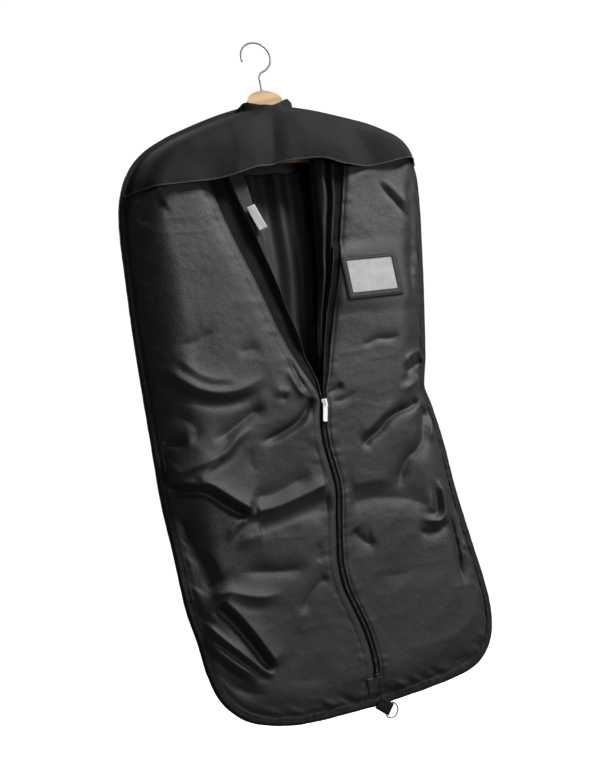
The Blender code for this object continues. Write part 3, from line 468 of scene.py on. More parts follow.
def coords(nt, scale=(1, 1, 1), rot=(0, 0, 0)):
    tc = nt.nodes.new("ShaderNodeTexCoord")
    mp = nt.nodes.new("ShaderNodeMapping")
    mp.inputs["Scale"].default_value = scale
    mp.inputs["Rotation"].default_value = rot
    nt.links.new(tc.outputs["Object"], mp.inputs["Vector"])
    return mp.outputs["Vector"]


def mth(nt, op, a, b=None, c=None):
    n = nt.nodes.new("ShaderNodeMath")
    n.operation = op
    for i, v in enumerate((a, b, c)):
        if v is None:
            continue
        if isinstance(v, (int, float)):
            n.inputs[i].default_value = v
        else:
            nt.links.new(v, n.inputs[i])
    return n.outputs[0]


def noise(nt, vec, scale, detail=3.0, rough=0.5):
    n = nt.nodes.new("ShaderNodeTexNoise")
    n.inputs["Scale"].default_value = scale
    n.inputs["Detail"].default_value = detail
    n.inputs["Roughness"].default_value = rough
    nt.links.new(vec, n.inputs["Vector"])
    return n.outputs["Fac"]


def ramp(nt, fac, stops):
    n = nt.nodes.new("ShaderNodeValToRGB")
    e = n.color_ramp.elements
    while len(e) < len(stops):
        e.new(0.5)
    for el, (pos, col) in zip(e, stops):
        el.position = pos
        el.color = (*col, 1) if len(col) == 3 else col
    nt.links.new(fac, n.inputs["Fac"])
    return n.outputs["Color"]


def grey(v, tint=(1, 1, 1)):
    return tuple(v * t for t in tint)


def bump(nt, height, strength, distance, normal=None):
    n = nt.nodes.new("ShaderNodeBump")
    n.inputs["Strength"].default_value = strength
    n.inputs["Distance"].default_value = distance
    nt.links.new(height, n.inputs["Height"])
    if normal is not None:
        nt.links.new(normal, n.inputs["Normal"])
    return n.outputs["Normal"]


def woven(name, dark, light, pitch=0.0011, rough=(0.42, 0.60), sheen=0.25, weave=0.35, tint=(1, 1, 1.01), crinkle=0.25, spec=0.5,
          sheen_rough=0.45, axes=("X", "Z"), grain=0.16):
    m, nt, b = new_material(name)
    v = coords(nt)
    sep = nt.nodes.new("ShaderNodeSeparateXYZ")
    nt.links.new(v, sep.inputs[0])
    k = 2 * math.pi / pitch
    sx = mth(nt, "SINE", mth(nt, "MULTIPLY", sep.outputs[axes[0]], k))
    sz = mth(nt, "SINE", mth(nt, "MULTIPLY", sep.outputs[axes[1]], k))
    over = mth(nt, "MULTIPLY", sx, sz)
    slub_a = noise(nt, coords(nt, (30, 30, 900)), 1.0, 2.0)
    slub_b = noise(nt, coords(nt, (900, 30, 30)), 1.0, 2.0)
    slub = mth(nt, "MULTIPLY", mth(nt, "ADD", slub_a, slub_b), 0.5)
    blotch = noise(nt, v, 9.0, 4.0, 0.6)
    speck = noise(nt, v, 330.0, 2.0, 0.6)
    fac = mth(nt, "ADD", mth(nt, "MULTIPLY", slub, 0.62 - grain), mth(nt, "MULTIPLY", blotch, 0.38))
    fac = mth(nt, "ADD", fac, mth(nt, "MULTIPLY", speck, grain))
    col = ramp(nt, fac, [(0.30, grey(dark, tint)), (0.70, grey(light, tint))])
    mix = nt.nodes.new("ShaderNodeMix")
    mix.data_type = "RGBA"
    mix.blend_type = "MULTIPLY"
    mix.inputs["Factor"].default_value = 0.35
    nt.links.new(col, mix.inputs["A"])
    nt.links.new(ramp(nt, mth(nt, "MULTIPLY_ADD", over, 0.5, 0.5), [(0.1, (0.72,) * 3), (0.9, (1.12,) * 3)]), mix.inputs["B"])
    nt.links.new(mix.outputs["Result"], b.inputs["Base Color"])
    rr = mth(nt, "MULTIPLY_ADD", mth(nt, "MULTIPLY", mth(nt, "ADD", slub, speck), 0.5), rough[1] - rough[0], rough[0])
    nt.links.new(rr, b.inputs["Roughness"])
    n0 = bump(nt, noise(nt, v, 46.0, 3.0, 0.55), crinkle, 0.0016)
    n1 = bump(nt, noise(nt, v, 170.0, 3.0, 0.6), crinkle, 0.0008, n0)
    n1 = bump(nt, speck, 1.6 * grain, 0.0007, n1)
    n2 = bump(nt, over, weave, 0.00022, n1)
    nt.links.new(n2, b.inputs["Normal"])
    b.inputs["Sheen Weight"].default_value = sheen
    b.inputs["Sheen Roughness"].default_value = sheen_rough
    b.inputs["Specular IOR Level"].default_value = spec
    return m


NYLON = woven("nylon_front", 0.010, 0.031, rough=(0.48, 0.62), sheen=0.03, spec=0.66, tint=(1, 1, 1.015), grain=0.50)
BACK = woven("nylon_back", 0.026, 0.050, rough=(0.44, 0.60), sheen=0.06, spec=0.45)
YOKE = woven("yoke_cloth", 0.007, 0.016, pitch=0.0016, rough=(0.66, 0.85), sheen=0.03, weave=0.5, spec=0.25, tint=(1.0, 1.0, 0.99), grain=0.35)
BIND = woven("binding_tape", 0.008, 0.019, pitch=0.0014, rough=(0.55, 0.75), sheen=0.05, weave=0.6, spec=0.3)
PIPE = woven("piping", 0.050, 0.085, pitch=0.0010, rough=(0.55, 0.70), sheen=0.15, weave=0.6, spec=0.3)
TAPE = woven("zip_tape", 0.0035, 0.007, pitch=0.0010, rough=(0.70, 0.85), sheen=0.06, weave=0.6, spec=0.2)
LINING = woven("lining", 0.009, 0.017, pitch=0.0007, rough=(0.38, 0.50), sheen=0.05, weave=0.2, spec=0.4, tint=(0.97, 0.98, 1.06))
FACING = woven("facing", 0.011, 0.021, pitch=0.0010, rough=(0.48, 0.62), sheen=0.06, spec=0.35)
LABEL = woven("label_tape", 0.62, 0.80, pitch=0.0008, rough=(0.55, 0.70), sheen=0.10, weave=0.6, tint=(1, 0.99, 0.97))
WEBBING = woven("webbing_rib", 0.004, 0.009, pitch=0.0022, rough=(0.60, 0.80), sheen=0.04, weave=0.9, spec=0.25)
THREAD = woven("thread", 0.018, 0.036, pitch=0.0006, rough=(0.45, 0.60), sheen=0.15, weave=0.3)
FRAME_CLOTH = woven("pocket_cloth", 0.012, 0.024, rough=(0.48, 0.62), sheen=0.06, spec=0.5)


def plain(name, dark, light, rough, metallic=0.0, noise_scale=60.0, bump_strength=0.1, tint=(1, 1, 1), coat=0.0, stretch=(1, 1, 1),
          rough_spread=0.08):
    m, nt, b = new_material(name)
    v = coords(nt, stretch)
    nz = noise(nt, v, noise_scale, 4.0, 0.6)
    nt.links.new(ramp(nt, nz, [(0.3, grey(dark, tint)), (0.7, grey(light, tint))]), b.inputs["Base Color"])
    nt.links.new(mth(nt, "MULTIPLY_ADD", nz, rough_spread, rough), b.inputs["Roughness"])
    nt.links.new(bump(nt, nz, bump_strength, 0.0004), b.inputs["Normal"])
    b.inputs["Metallic"].default_value = metallic
    b.inputs["Coat Weight"].default_value = coat
    return m


# hook finish: mostly grey diffuse colour with little metal, a painted reflection standing in for chrome mirroring a
# bright studio
CHROME_PAINTED_REFLECTION = plain("chrome", 0.36, 0.44, 0.38, 0.25, 120, 0.02, (1, 1, 1.01))
STEEL = plain("steel", 0.42, 0.56, 0.28, 0.55, 250, 0.06, (0.98, 0.99, 1.0))
SILVER = plain("slider_silver", 0.80, 0.92, 0.30, 0.35, 220, 0.08, (1, 1, 0.99), rough_spread=0.12)
GUNMETAL = plain("gunmetal", 0.05, 0.09, 0.40, 0.5, 250, 0.06)
COIL = plain("zip_coil", 0.012, 0.024, 0.34, 0.0, 500, 0.10)
CARD = plain("card_paper", 0.46, 0.62, 0.62, 0.0, 55, 0.15, (1, 1, 1.0))


def birch():
    m, nt, b = new_material("birch")
    v = coords(nt, (1, 1, 1), (0, 0.35, 0))
    w = nt.nodes.new("ShaderNodeTexWave")
    w.wave_type, w.bands_direction = "BANDS", "Z"
    w.inputs["Scale"].default_value = 16.0
    w.inputs["Distortion"].default_value = 5.0
    w.inputs["Detail"].default_value = 3.0
    w.inputs["Detail Scale"].default_value = 0.7
    nt.links.new(coords(nt, (0.25, 1, 1), (0, 0.9, 0)), w.inputs["Vector"])
    fine = noise(nt, coords(nt, (60, 400, 400), (0, 0.9, 0)), 1.0, 4.0, 0.6)
    fac = mth(nt, "ADD", mth(nt, "MULTIPLY", w.outputs["Fac"], 0.55), mth(nt, "MULTIPLY", fine, 0.45))
    col = ramp(nt, fac, [(0.10, (0.56, 0.32, 0.15)), (0.45, (0.72, 0.47, 0.25)), (0.9, (0.82, 0.58, 0.34))])
    nt.links.new(col, b.inputs["Base Color"])
    nt.links.new(mth(nt, "MULTIPLY_ADD", fine, 0.18, 0.34), b.inputs["Roughness"])
    nt.links.new(bump(nt, fac, 0.12, 0.0004), b.inputs["Normal"])
    b.inputs["Coat Weight"].default_value = 0.25
    return m


BIRCH = birch()


def vinyl():
    m, nt, b = new_material("clear_vinyl")
    nz = noise(nt, coords(nt), 38.0, 3.0, 0.5)
    nt.links.new(ramp(nt, nz, [(0.3, (0.90, 0.91, 0.92)), (0.7, (0.97, 0.97, 0.98))]), b.inputs["Base Color"])
    nt.links.new(mth(nt, "MULTIPLY_ADD", nz, 0.12, 0.10), b.inputs["Roughness"])
    nt.links.new(bump(nt, nz, 0.35, 0.0012), b.inputs["Normal"])
    b.inputs["Transmission Weight"].default_value = 0.0
    b.inputs["Alpha"].default_value = 0.16
    return m


VINYL = vinyl()
for slot_mat in (VINYL,):
    slot_mat.surface_render_method = "BLENDED"


# ------------------------------------------------------------------ mesh helpers
def add_mesh(name, verts, faces, mat, smooth=True, body=None):
    me = bpy.data.meshes.new(name)
    me.from_pydata([tuple(map(float, p)) for p in verts], [], [tuple(map(int, q)) for q in faces])
    me.validate()
    me.update()
    ob = bpy.data.objects.new(name, me)
    scene.collection.objects.link(ob)
    ob.data.materials.append(mat)
    if smooth:
        me.polygons.foreach_set("use_smooth", [True] * len(me.polygons))
    if body:
        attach(ob, body)
    return ob


def grid_faces(n, m, wrap=False):
    i, j = np.meshgrid(np.arange(n if wrap else n - 1), np.arange(m - 1), indexing="ij")
    i2 = (i + 1) % n
    a = i * m + j
    b = i2 * m + j
    return np.stack([a, b, b + 1, a + 1], axis=-1).reshape(-1, 4)


def facing_front(verts, faces):
    """The same quads, turned so that most of them face -Y."""
    V = np.asarray(verts)
    F = np.asarray(faces)
    nrm = np.cross(V[F[:, 1]] - V[F[:, 0]], V[F[:, 2]] - V[F[:, 0]])
    return F[:, ::-1] if nrm[:, 1].sum() > 0 else F


def thicken(ob, t, offset=1.0):
    """Gives a sheet its thickness; offset 1 keeps the outer face where it is."""
    s = ob.modifiers.new("thickness", "SOLIDIFY")
    s.thickness = t
    s.offset = offset
    s.use_even_offset = False
    s.use_rim = True
    return s


def strip(name, path, across, mat, closed=False, **kw):
    """path: n points and across: function(i) -> list of m points. A ribbon."""
    rows = [across(i) for i in range(len(path))]
    V = np.array(rows).reshape(-1, 3)
    F = grid_faces(len(path), len(rows[0]), closed)
    return V, F


def tube_mesh(points, radius, sides=8, closed=False):
    P = np.asarray(points, float)
    n = len(P)
    if closed:
        T = np.roll(P, -1, 0) - np.roll(P, 1, 0)
    else:
        T = np.gradient(P, axis=0)
    T /= np.linalg.norm(T, axis=1)[:, None] + 1e-12
    N = np.zeros_like(P)
    ref = np.array((0.0, 1.0, 0.0)) if abs(T[0][1]) < 0.9 else np.array((1.0, 0, 0))
    prev = np.cross(T[0], ref)
    prev /= np.linalg.norm(prev)
    for i in range(n):
        q = prev - T[i] * np.dot(prev, T[i])
        q /= np.linalg.norm(q) + 1e-12
        N[i] = q
        prev = q
    B = np.cross(T, N)
    a = np.arange(sides) * 2 * math.pi / sides
    R = np.broadcast_to(np.asarray(radius, float), (n,))
    V = P[:, None] + R[:, None, None] * (N[:, None] * np.cos(a)[None, :, None] + B[:, None] * np.sin(a)[None, :, None])
    V = V.reshape(-1, 3)
    F = []
    for i in range(n if closed else n - 1):
        for k in range(sides):
            i2 = (i + 1) % n
            F.append((i * sides + k, i * sides + (k + 1) % sides, i2 * sides + (k + 1) % sides, i2 * sides + k))
    if not closed:
        F.append(tuple(range(sides))[::-1])
        F.append(tuple((n - 1) * sides + k for k in range(sides)))
    return V, F


def join(parts):
    Vs, Fs, base = [], [], 0
    for V, F in parts:
        Vs.append(np.asarray(V))
        Fs += [tuple(int(q) + base for q in fc) for fc in F]
        base += len(V)
    return np.vstack(Vs), Fs


STITCH_F = [(0, 1, 2), (0, 2, 3), (0, 3, 4), (0, 4, 1), (5, 2, 1), (5, 3, 2), (5, 4, 3), (5, 1, 4)]


def stitches(path, normal, length=0.0030, gap=0.0013, width=0.0007, height=0.0005):
    """Short thread loops laid on a path; path and normal are n x 3."""
    P = np.asarray(path, float)
    s = np.r_[0, np.cumsum(np.linalg.norm(np.diff(P, axis=0), axis=1))]
    N = np.asarray(normal, float)
    if N.ndim == 1:
        N = np.broadcast_to(N, P.shape)
    V, F, base = [], [], 0
    a = 0.0015
    while a + length < s[-1]:
        p0 = np.array([np.interp(a, s, P[:, k]) for k in range(3)])
        p1 = np.array([np.interp(a + length, s, P[:, k]) for k in range(3)])
        nn = np.array([np.interp(a + length / 2, s, N[:, k]) for k in range(3)])
        nn /= np.linalg.norm(nn) + 1e-9
        t = p1 - p0
        t /= np.linalg.norm(t) + 1e-9
        w = np.cross(t, nn)
        mid = (p0 + p1) / 2
        V += [p0 - nn * height * 0.5, mid + w * width / 2, mid + nn * height, mid - w * width / 2, mid - nn * height, p1 - nn * height * 0.5]
        F += [tuple(base + q for q in fc) for fc in STITCH_F]
        base += 6
        a += length + gap
    return np.array(V), F


def front_normal(x, z, e=0.0015):
    gx = (front(x + e, z) - front(x - e, z)) / (2 * e)
    gz = (front(x, z + e) - front(x, z - e)) / (2 * e)
    n = np.stack([gx, -np.ones_like(gx), gz], axis=-1)
    return n / np.linalg.norm(n, axis=-1)[..., None]


def inward(P, closed=False):
    """Unit normals of a 2-D line, pointing to its left."""
    T = np.gradient(P, axis=0)
    T /= np.linalg.norm(T, axis=1)[:, None] + 1e-12
    return np.stack([-T[:, 1], T[:, 0]], axis=1)


def across_fold(ob):
    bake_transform(ob)


# ------------------------------------------------------------------ front panels
def front_panel(name, side, slots):
    s = 0.0026
    rows = np.arange(-0.215, -1.2575, -s)
    far = 0.345
    cols = np.r_[0, 0.0009, 0.0019, 0.0031, 0.0046, np.arange(0.0065, far, s)]
    Z, C = np.meshgrid(rows, cols, indexing="ij")
    Xg = panel_edge(Z, side) + side * C
    # where the V is widest the columns still start on its edge; below the chain's end they meet in the middle
    d = edge_dist(Xg, Z)
    n, m = Xg.shape
    ok = d > 0.0065
    quad = ok[:-1, :-1] & ok[1:, :-1] & ok[:-1, 1:] & ok[1:, 1:]
    qi, qj = np.where(quad)
    a = qi * m + qj
    F = np.stack([a, a + m, a + m + 1, a + 1], axis=1)
    used = np.unique(F)
    remap = -np.ones(n * m, int)
    remap[used] = np.arange(len(used))
    F = remap[F]
    x, z = Xg.ravel()[used], Z.ravel()[used]
    # the outer ring is moved on to the seam line
    count = np.zeros(len(used), int)
    np.add.at(count, F.ravel(), 1)
    dd = edge_dist(x, z)
    ring = (count < 4) & (dd < 0.0145) & (z < -0.22)
    e = 0.002
    gx = (edge_dist(x + e, z) - edge_dist(x - e, z)) / (2 * e)
    gz = (edge_dist(x, z + e) - edge_dist(x, z - e)) / (2 * e)
    gl = np.hypot(gx, gz) + 1e-9
    move = np.where(ring, dd - 0.0065, 0)
    x = x - gx / gl * move
    z = z - gz / gl * move
    y = front(x, z)
    V = np.stack([x, y, z], axis=1)
    F = facing_front(V, F)
    ob = add_mesh(name, V, F, NYLON)
    thicken(ob, 0.0012, -1.0)
    return ob


sheet_area = {}
for side, word in ((-1, "left"), (1, "right")):
    ob = front_panel(f"front_fabric_{word}", side, None)
    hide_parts(f"front_panel_upper_{word}", f"front_panel_lower_{word}")
    across_fold(ob)

# ------------------------------------------------------------------ back panel
def back_fabric():
    s = 0.006
    xs = np.arange(-0.324, 0.312, s)
    zs = np.arange(-0.120, -1.268, -s)
    Z, Xg = np.meshgrid(zs, xs, indexing="ij")
    d = edge_dist(Xg, Z)
    n, m = Xg.shape
    ok = d > 0.003
    quad = ok[:-1, :-1] & ok[1:, :-1] & ok[:-1, 1:] & ok[1:, 1:]
    qi, qj = np.where(quad)
    a = qi * m + qj
    F = np.stack([a, a + m, a + m + 1, a + 1], axis=1)
    used = np.unique(F)
    remap = -np.ones(n * m, int)
    remap[used] = np.arange(len(used))
    F = remap[F]
    x, z = Xg.ravel()[used], Z.ravel()[used]
    dd = edge_dist(x, z)
    dent = noise2(x, z, 0.10, 41, (1.0, 1.4)) * 0.5 + noise2(x, z, 0.035, 42) * 0.25
    folds = 0.6 * np.exp(-((z + 0.688 + 0.02 * noise2(x, z * 0, 0.12, 44)) / 0.010) ** 2)
    y = BACK_Y + 0.0008 - (0.5 + dent + folds) * 0.0022 * step01(dd, 0.008, 0.05)
    V = np.stack([x, y, z], axis=1)
    F = facing_front(V, F)[:, ::-1]
    ob = add_mesh("back_fabric", V, F, BACK)
    sub = ob.modifiers.new("smooth", "SUBSURF")
    sub.levels = sub.render_levels = 1
    thicken(ob, 0.0010, -1.0)
    return ob


ob = back_fabric()
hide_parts("back_panel_upper", "back_panel_lower")
across_fold(ob)


# ------------------------------------------------------------------ edge binding
def binding(name, line, side, nodes_, flip):
    P = even_line(line, 0.0028)
    N = inward(P) * (1 if side > 0 else -1)
    n = len(P)
    s = np.r_[0, np.cumsum(np.linalg.norm(np.diff(P, axis=0), axis=1))]
    width = 0.0150 + 0.0012 * noise2(s, s * 0, 0.03, 51) + 0.0006 * noise2(s, s * 0, 0.008, 52)
    ripple = 0.0011 * noise2(s, s * 0, 0.0075, 53) + 0.0012 * noise2(s, s * 0, 0.021, 54)
    # section: back inner edge -> round the outside -> front inner edge
    sec = []
    for t in np.linspace(0, 1, 4):
        sec.append((0.0110 * (1 - t) + 0.0022 * t, "back", 0))
    for a in np.linspace(-75, 75, 7):
        sec.append((0.0022 - 0.0028 * math.cos(math.radians(a)), "arc", math.radians(a)))
    for t in np.linspace(0.06, 1, 9):
        sec.append((t, "front", t))
    rows = []
    for kind in sec:
        d, what, a = kind
        if what == "back":
            q = P + N * d
            y = np.full(n, 0.0216) - 0.0003 * (d > 0.01)
        elif what == "arc":
            q = P + N * (d + 0.0003 * noise2(s, s * 0, 0.01, 55))[:, None]
            y = 0.0146 - 0.0066 * np.sin(a) + 0 * s
        else:
            dd = 0.0020 + a * (width - 0.0020)
            q = P + N * dd[:, None]
            face = front(P[:, 0] + N[:, 0] * np.maximum(dd, 0.0085), P[:, 1] + N[:, 1] * np.maximum(dd, 0.0085))
            y0 = 0.0082
            lift = -0.0016 - ripple * (0.3 + 0.7 * a) - 0.0008 * math.sin(math.pi * a)
            y = np.where(dd < 0.0085, y0 + (np.minimum(face, y0) - y0) * np.clip((dd - 0.002) / 0.0065, 0, 1), np.minimum(face, y0)) + lift
            if what == "front" and a == 1.0:
                y = y + 0.0009
        rows.append(np.stack([q[:, 0], y, q[:, 1]], axis=1))
    V = np.stack(rows, axis=1).reshape(-1, 3)
    F = grid_faces(n, len(sec))
    if flip:
        F = F[:, ::-1]
    ob = add_mesh(name, V, F, BIND)
    thicken(ob, 0.0009, -1.0)
    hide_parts(*nodes_)
    across_fold(ob)
    # its row of stitches
    dd = (width - 0.0028)[:, None]
    q = P + N * dd
    y = np.minimum(front(q[:, 0], q[:, 1]), 0.0082) - 0.0022 - ripple
    path = np.stack([q[:, 0], y, q[:, 1]], axis=1)
    nr = front_normal(q[:, 0], q[:, 1])
    V, F = stitches(path, nr)
    # the row breaks off under the webbing loop
    G = V.reshape(-1, 6, 3)
    G = G[~((G[:, :, 0] > 0.002) & (G[:, :, 0] < 0.046) & (G[:, :, 2] < -1.2380)).any(axis=1)]
    V, F = G.reshape(-1, 3), [tuple(6 * k + q for q in fc) for k in range(len(G)) for fc in STITCH_F]
    st = add_mesh(name + "_stitches", V, F, THREAD, smooth=False)
    across_fold(st)
    return ob


binding("binding_left", LEFT_EDGE, 1, ["edge_binding_upper_left", "edge_binding_lower_left"], False)
binding("binding_right", RIGHT_EDGE, -1, ["edge_binding_upper_right", "edge_binding_lower_right", "edge_binding_foot"], True)


# ------------------------------------------------------------------ shoulder yoke
TOP_LEFT = even_line(LU, 0.004)
TOP_RIGHT = even_line(RU, 0.004)
HEM_LINE = smooth_line(HEM, 0.004)


NECK_LINE = smooth_line([(-0.0520, -0.1240), (-0.0455, -0.1255), (-0.0370, -0.1298), (-0.0257, -0.1342), (-0.0121, -0.1382), (0.0028, -0.1392),
                         (0.0159, -0.1348), (0.0300, -0.1276), (0.0375, -0.1228), (0.0415, -0.1215), (0.0455, -0.1240), (0.0520, -0.1275)], 0.002)


def yoke_top(x):
    x = np.asarray(x, float)
    kl = TOP_LEFT[: int(np.argmin(np.abs(TOP_LEFT[:, 1] + 0.33)))]
    kr = TOP_RIGHT[: int(np.argmin(np.abs(TOP_RIGHT[:, 1] + 0.27)))]
    zl = np.interp(-x, -kl[:, 0], kl[:, 1])
    zr = np.interp(x, kr[:, 0], kr[:, 1])
    z = np.where(x < 0, zl, zr) - 0.0022
    neck = np.interp(x, NECK_LINE[:, 0], NECK_LINE[:, 1]) - 0.0022
    t = step01(np.abs(x), 0.038, 0.052)
    return neck * (1 - t) + np.minimum(z, 0) * t


def hem_z(x):
    return np.interp(x, HEM_LINE[:, 0], HEM_LINE[:, 1])


def yoke_y(x, z):
    """Outer face of the yoke: it lies on the shoulders and hangs free at its hem."""
    shape = np.shape(x)
    x, z = np.ravel(x), np.ravel(z)
    y = base_front(x, z) - 0.0062
    dome = -0.0052 - 0.0262 * np.sqrt(np.clip(1 - (x / 0.054) ** 2, 0, 1))
    y = np.where(np.abs(x) < 0.0535, np.minimum(y, dome), y)
    top, hem = yoke_top(x), hem_z(x)
    t = np.clip((top - z) / np.maximum(top - hem, 1e-3), 0, 1)
    # soft folds from the neck, hollow in the middle left, swells either side
    H = -0.0085 * np.exp(-(np.abs(x + 0.012 + 0.030 * (t - 0.5)) / 0.020) ** 1.5) * step01(t, 0.0, 0.30)
    H += 0.0045 * np.exp(-((x - 0.045) / 0.035) ** 2) * step01(t, 0.1, 0.6)
    H += 0.0040 * np.exp(-((x + 0.060) / 0.030) ** 2) * step01(t, 0.1, 0.6)
    H -= 0.0045 * np.exp(-(np.abs(x - 0.135 - 0.05 * t) / 0.030) ** 1.5) * step01(t, 0.1, 0.6)
    H += 0.0030 * np.exp(-((x + 0.115) / 0.045) ** 2) * step01(t, 0.1, 0.7)
    H += 0.0020 * noise2(x, z, 0.075, 61, (1.0, 1.5)) * step01(t, 0.05, 0.4)
    H += 0.0010 * noise2(x, z, 0.028, 62, (0.8, 1.8))
    # flutes of the free hem
    flute = (0.0035 * np.sin((x - 0.060) * 2 * math.pi / 0.170) + 0.0022 * np.sin(x * 2 * math.pi / 0.097 + 1.0)) * (np.abs(x) < 0.29)
    H += flute * step01(t, 0.35, 1.0) * (1 - step01(np.abs(x), 0.24, 0.29))
    H += 0.0035 * step01(t, 0.55, 1.0) * (1 - step01(np.abs(x), 0.25, 0.293))
    fade = step01(edge_dist(x, z), 0.004, 0.022)
    y = y - H * fade
    y = np.maximum(y, -0.0665)
    return y.reshape(shape)


def yoke():
    xs = np.r_[np.linspace(-0.3035, -0.27, 20), np.linspace(-0.268, 0.268, 216), np.linspace(0.270, 0.3005, 20)]
    ts = np.r_[np.linspace(0, 0.12, 7)[:-1], np.linspace(0.12, 1, 54)]
    Xg, T = np.meshgrid(xs, ts, indexing="ij")
    top = yoke_top(Xg)
    hem = hem_z(np.clip(Xg, -0.2935, 0.292)) - 0.0010
    hem = np.where(Xg < -0.2935, -0.293 - (Xg + 0.2935) * -0.2, hem)
    hem = np.minimum(hem, top - 0.002)
    Z = top + (hem - top) * T
    Yg = yoke_y(Xg, Z)
    V = np.stack([Xg, Yg, Z], axis=-1).reshape(-1, 3)
    F = facing_front(V, grid_faces(len(xs), len(ts)))
    ob = add_mesh("yoke_fabric", V, F, YOKE)
    thicken(ob, 0.0013, -1.0)
    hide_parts("shoulder_yoke")
    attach(ob, "bag_upper")
    # rolled hem with a thin pale cord
    hx = np.linspace(-0.299, 0.298, 260)
    hz = np.minimum(hem_z(np.clip(hx, -0.2935, 0.292)) - 0.0010, yoke_top(hx) - 0.003)
    hy = yoke_y(hx, hz) + 0.0004
    V, F = tube_mesh(np.stack([hx, hy, hz], axis=1), 0.0014, 8)
    pipe = add_mesh("yoke_hem_cord", V, F, PIPE, body="bag_upper")
    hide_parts("yoke_hem_piping")
    # a stitched line above the hem, and one inside the shoulder edges
    parts = []
    sx = np.linspace(-0.287, 0.284, 300)
    sz = hem_z(sx) + 0.0075
    sy = yoke_y(sx, sz) - 0.0002
    parts.append(stitches(np.stack([sx, sy, sz], axis=1), (0, -1, 0)))
    for line, sg in ((TOP_LEFT, 1), (TOP_RIGHT, -1)):
        keep = line[(np.abs(line[:, 0]) > 0.056) & (line[:, 1] > -0.245)]
        q = keep + inward(keep) * sg * 0.0135
        yy = yoke_y(q[:, 0], q[:, 1]) - 0.0002
        parts.append(stitches(np.stack([q[:, 0], yy, q[:, 1]], axis=1), (0, -1, 0)))
    V, F = join(parts)
    add_mesh("yoke_stitches", V, F, THREAD, smooth=False, body="bag_upper")


yoke()


# ------------------------------------------------------------------ neck binding
def neck():
    a = np.linspace(0, 2 * math.pi, 97)[:-1]
    ex = 0.0455 * np.cos(a)
    ey = -0.0030 - 0.0242 * np.sin(a)
    # low in front, peaks at the sides, the right one higher
    front_line = np.interp(ex, NECK_LINE[:, 0], NECK_LINE[:, 1])
    back_line = -0.1290 + (ex / 0.0455) ** 2 * np.where(ex < 0, 0.0020, 0.0050)
    zc = np.where(np.sin(a) > 0, front_line, back_line) - 0.0020
    P = np.stack([ex, ey, zc], axis=1)
    N = np.stack([np.cos(a), -np.sin(a), 0 * a], axis=1)
    rows = []
    sec = [(-0.0012, -0.0120), (-0.0016, -0.0060), (-0.0016, 0.0010), (-0.0008, 0.0026), (0.0008, 0.0026), (0.0020, 0.0008),
           (0.0026, -0.0040), (0.0030, -0.0100), (0.0038, -0.0150)]
    for o, h in sec:
        wob = 0.0005 * noise2(a * 0.043, a * 0, 0.008, 71 + int(h * 1e4) % 7)
        rows.append(P + N * (o + wob)[:, None] + np.array((0, 0, h)))
    V = np.stack(rows, axis=1).reshape(-1, 3)
    F = grid_faces(len(a), len(sec), wrap=True)
    ob = add_mesh("neck_collar", V, F, BIND, body="bag_upper")
    thicken(ob, 0.0008, -1.0)
    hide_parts("neck_binding")


neck()


# ------------------------------------------------------------------ zip tapes, chain and stops
def ribbon(name, z, x0, x1, yfun, mat, n_across=6, t=0.0008, body=None, flip=False):
    cols = np.linspace(0, 1, n_across)
    Z, C = np.meshgrid(z, cols, indexing="ij")
    Xg = x0[:, None] + (x1 - x0)[:, None] * C
    Yg = yfun(Xg, Z, C)
    V = np.stack([Xg, Yg, Z], axis=-1).reshape(-1, 3)
    F = facing_front(V, grid_faces(len(z), n_across))
    ob = add_mesh(name, V, F, mat)
    thicken(ob, t, -1.0)
    return ob


for side, word in ((-1, "left"), (1, "right")):
    # upper: the parted tape, drawn as a black band from the chain to under the panel edge; it is wider than the real
    # tape, and the extra width is painted shade, a dark sheet standing in for the shadow beside the rolled edge of the
    # panel
    z = np.arange(-0.236, -0.7075, -0.004)
    edge = panel_edge(z, side)
    x_in = side * (open_half(z, side) - 0.0026) + zip_x(z) * (1 - step01(z, -0.712, -0.600))
    x_out = edge + side * 0.0060

    def up_y(Xg, Z, C, side=side):
        fy = front(panel_edge(Z, side) + side * 0.003, Z) + 0.0024
        return fy + 0.0010 * noise2(Z, C, 0.03, 81 + side) * (1 - C) + 0.0050 * (1 - C) * step01(Z, -0.69, -0.60)

    ob = ribbon(f"zip_tape_and_shade_upper_{word}", z, x_in, x_out, up_y, TAPE)
    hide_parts(f"zip_tape_upper_{word}")
    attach(ob, "bag_upper")
    # lower: only a narrow black strip shows beside the chain
    z = np.arange(-0.7075, -1.2250, -0.004)
    x_in = zip_x(z) + side * 0.0004
    x_out = zip_x(z) + side * 0.0120

    def low_y(Xg, Z, C, side=side):
        return front(zip_x(Z) + side * 0.012, Z) + 0.0036 - 0.0012 * (1 - C)

    ob = ribbon(f"zip_band_lower_{word}", z, x_in, x_out, low_y, TAPE)
    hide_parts(f"zip_tape_lower_{word}")
    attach(ob, "bag_lower")


def chain_y(z):
    return (front(zip_x(z) - 0.012, z) + front(zip_x(z) + 0.012, z)) / 2 + 0.0012


def teeth(name, z0, z1, side, parted, body, node_):
    """Coil teeth: a thread that loops round, its head towards the other side."""
    pitch = 0.0016
    zs = np.arange(z0, z1, -pitch / 8)
    k = np.arange(len(zs)) / 8.0 * 2 * math.pi + (0 if side < 0 else math.pi)
    if parted:
        cx = side * (open_half(zs, side) - 0.0012) + zip_x(zs) * (1 - step01(zs, -0.712, -0.600))
        cy = front(panel_edge(zs, side) + side * 0.003, zs) + 0.0014 + 0.0050 * step01(zs, -0.69, -0.60)
        x = cx - side * 0.0016 * np.cos(k)
    else:
        cx = zip_x(zs) + side * 0.0014
        cy = chain_y(zs)
        x = cx - side * 0.0017 * np.cos(k)
    y = cy - 0.0009 - 0.0008 * np.sin(k)
    V, F = tube_mesh(np.stack([x, y, zs], axis=1), 0.00042, 4)
    ob = add_mesh(name, V, F, COIL, body=body)
    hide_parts(node_)


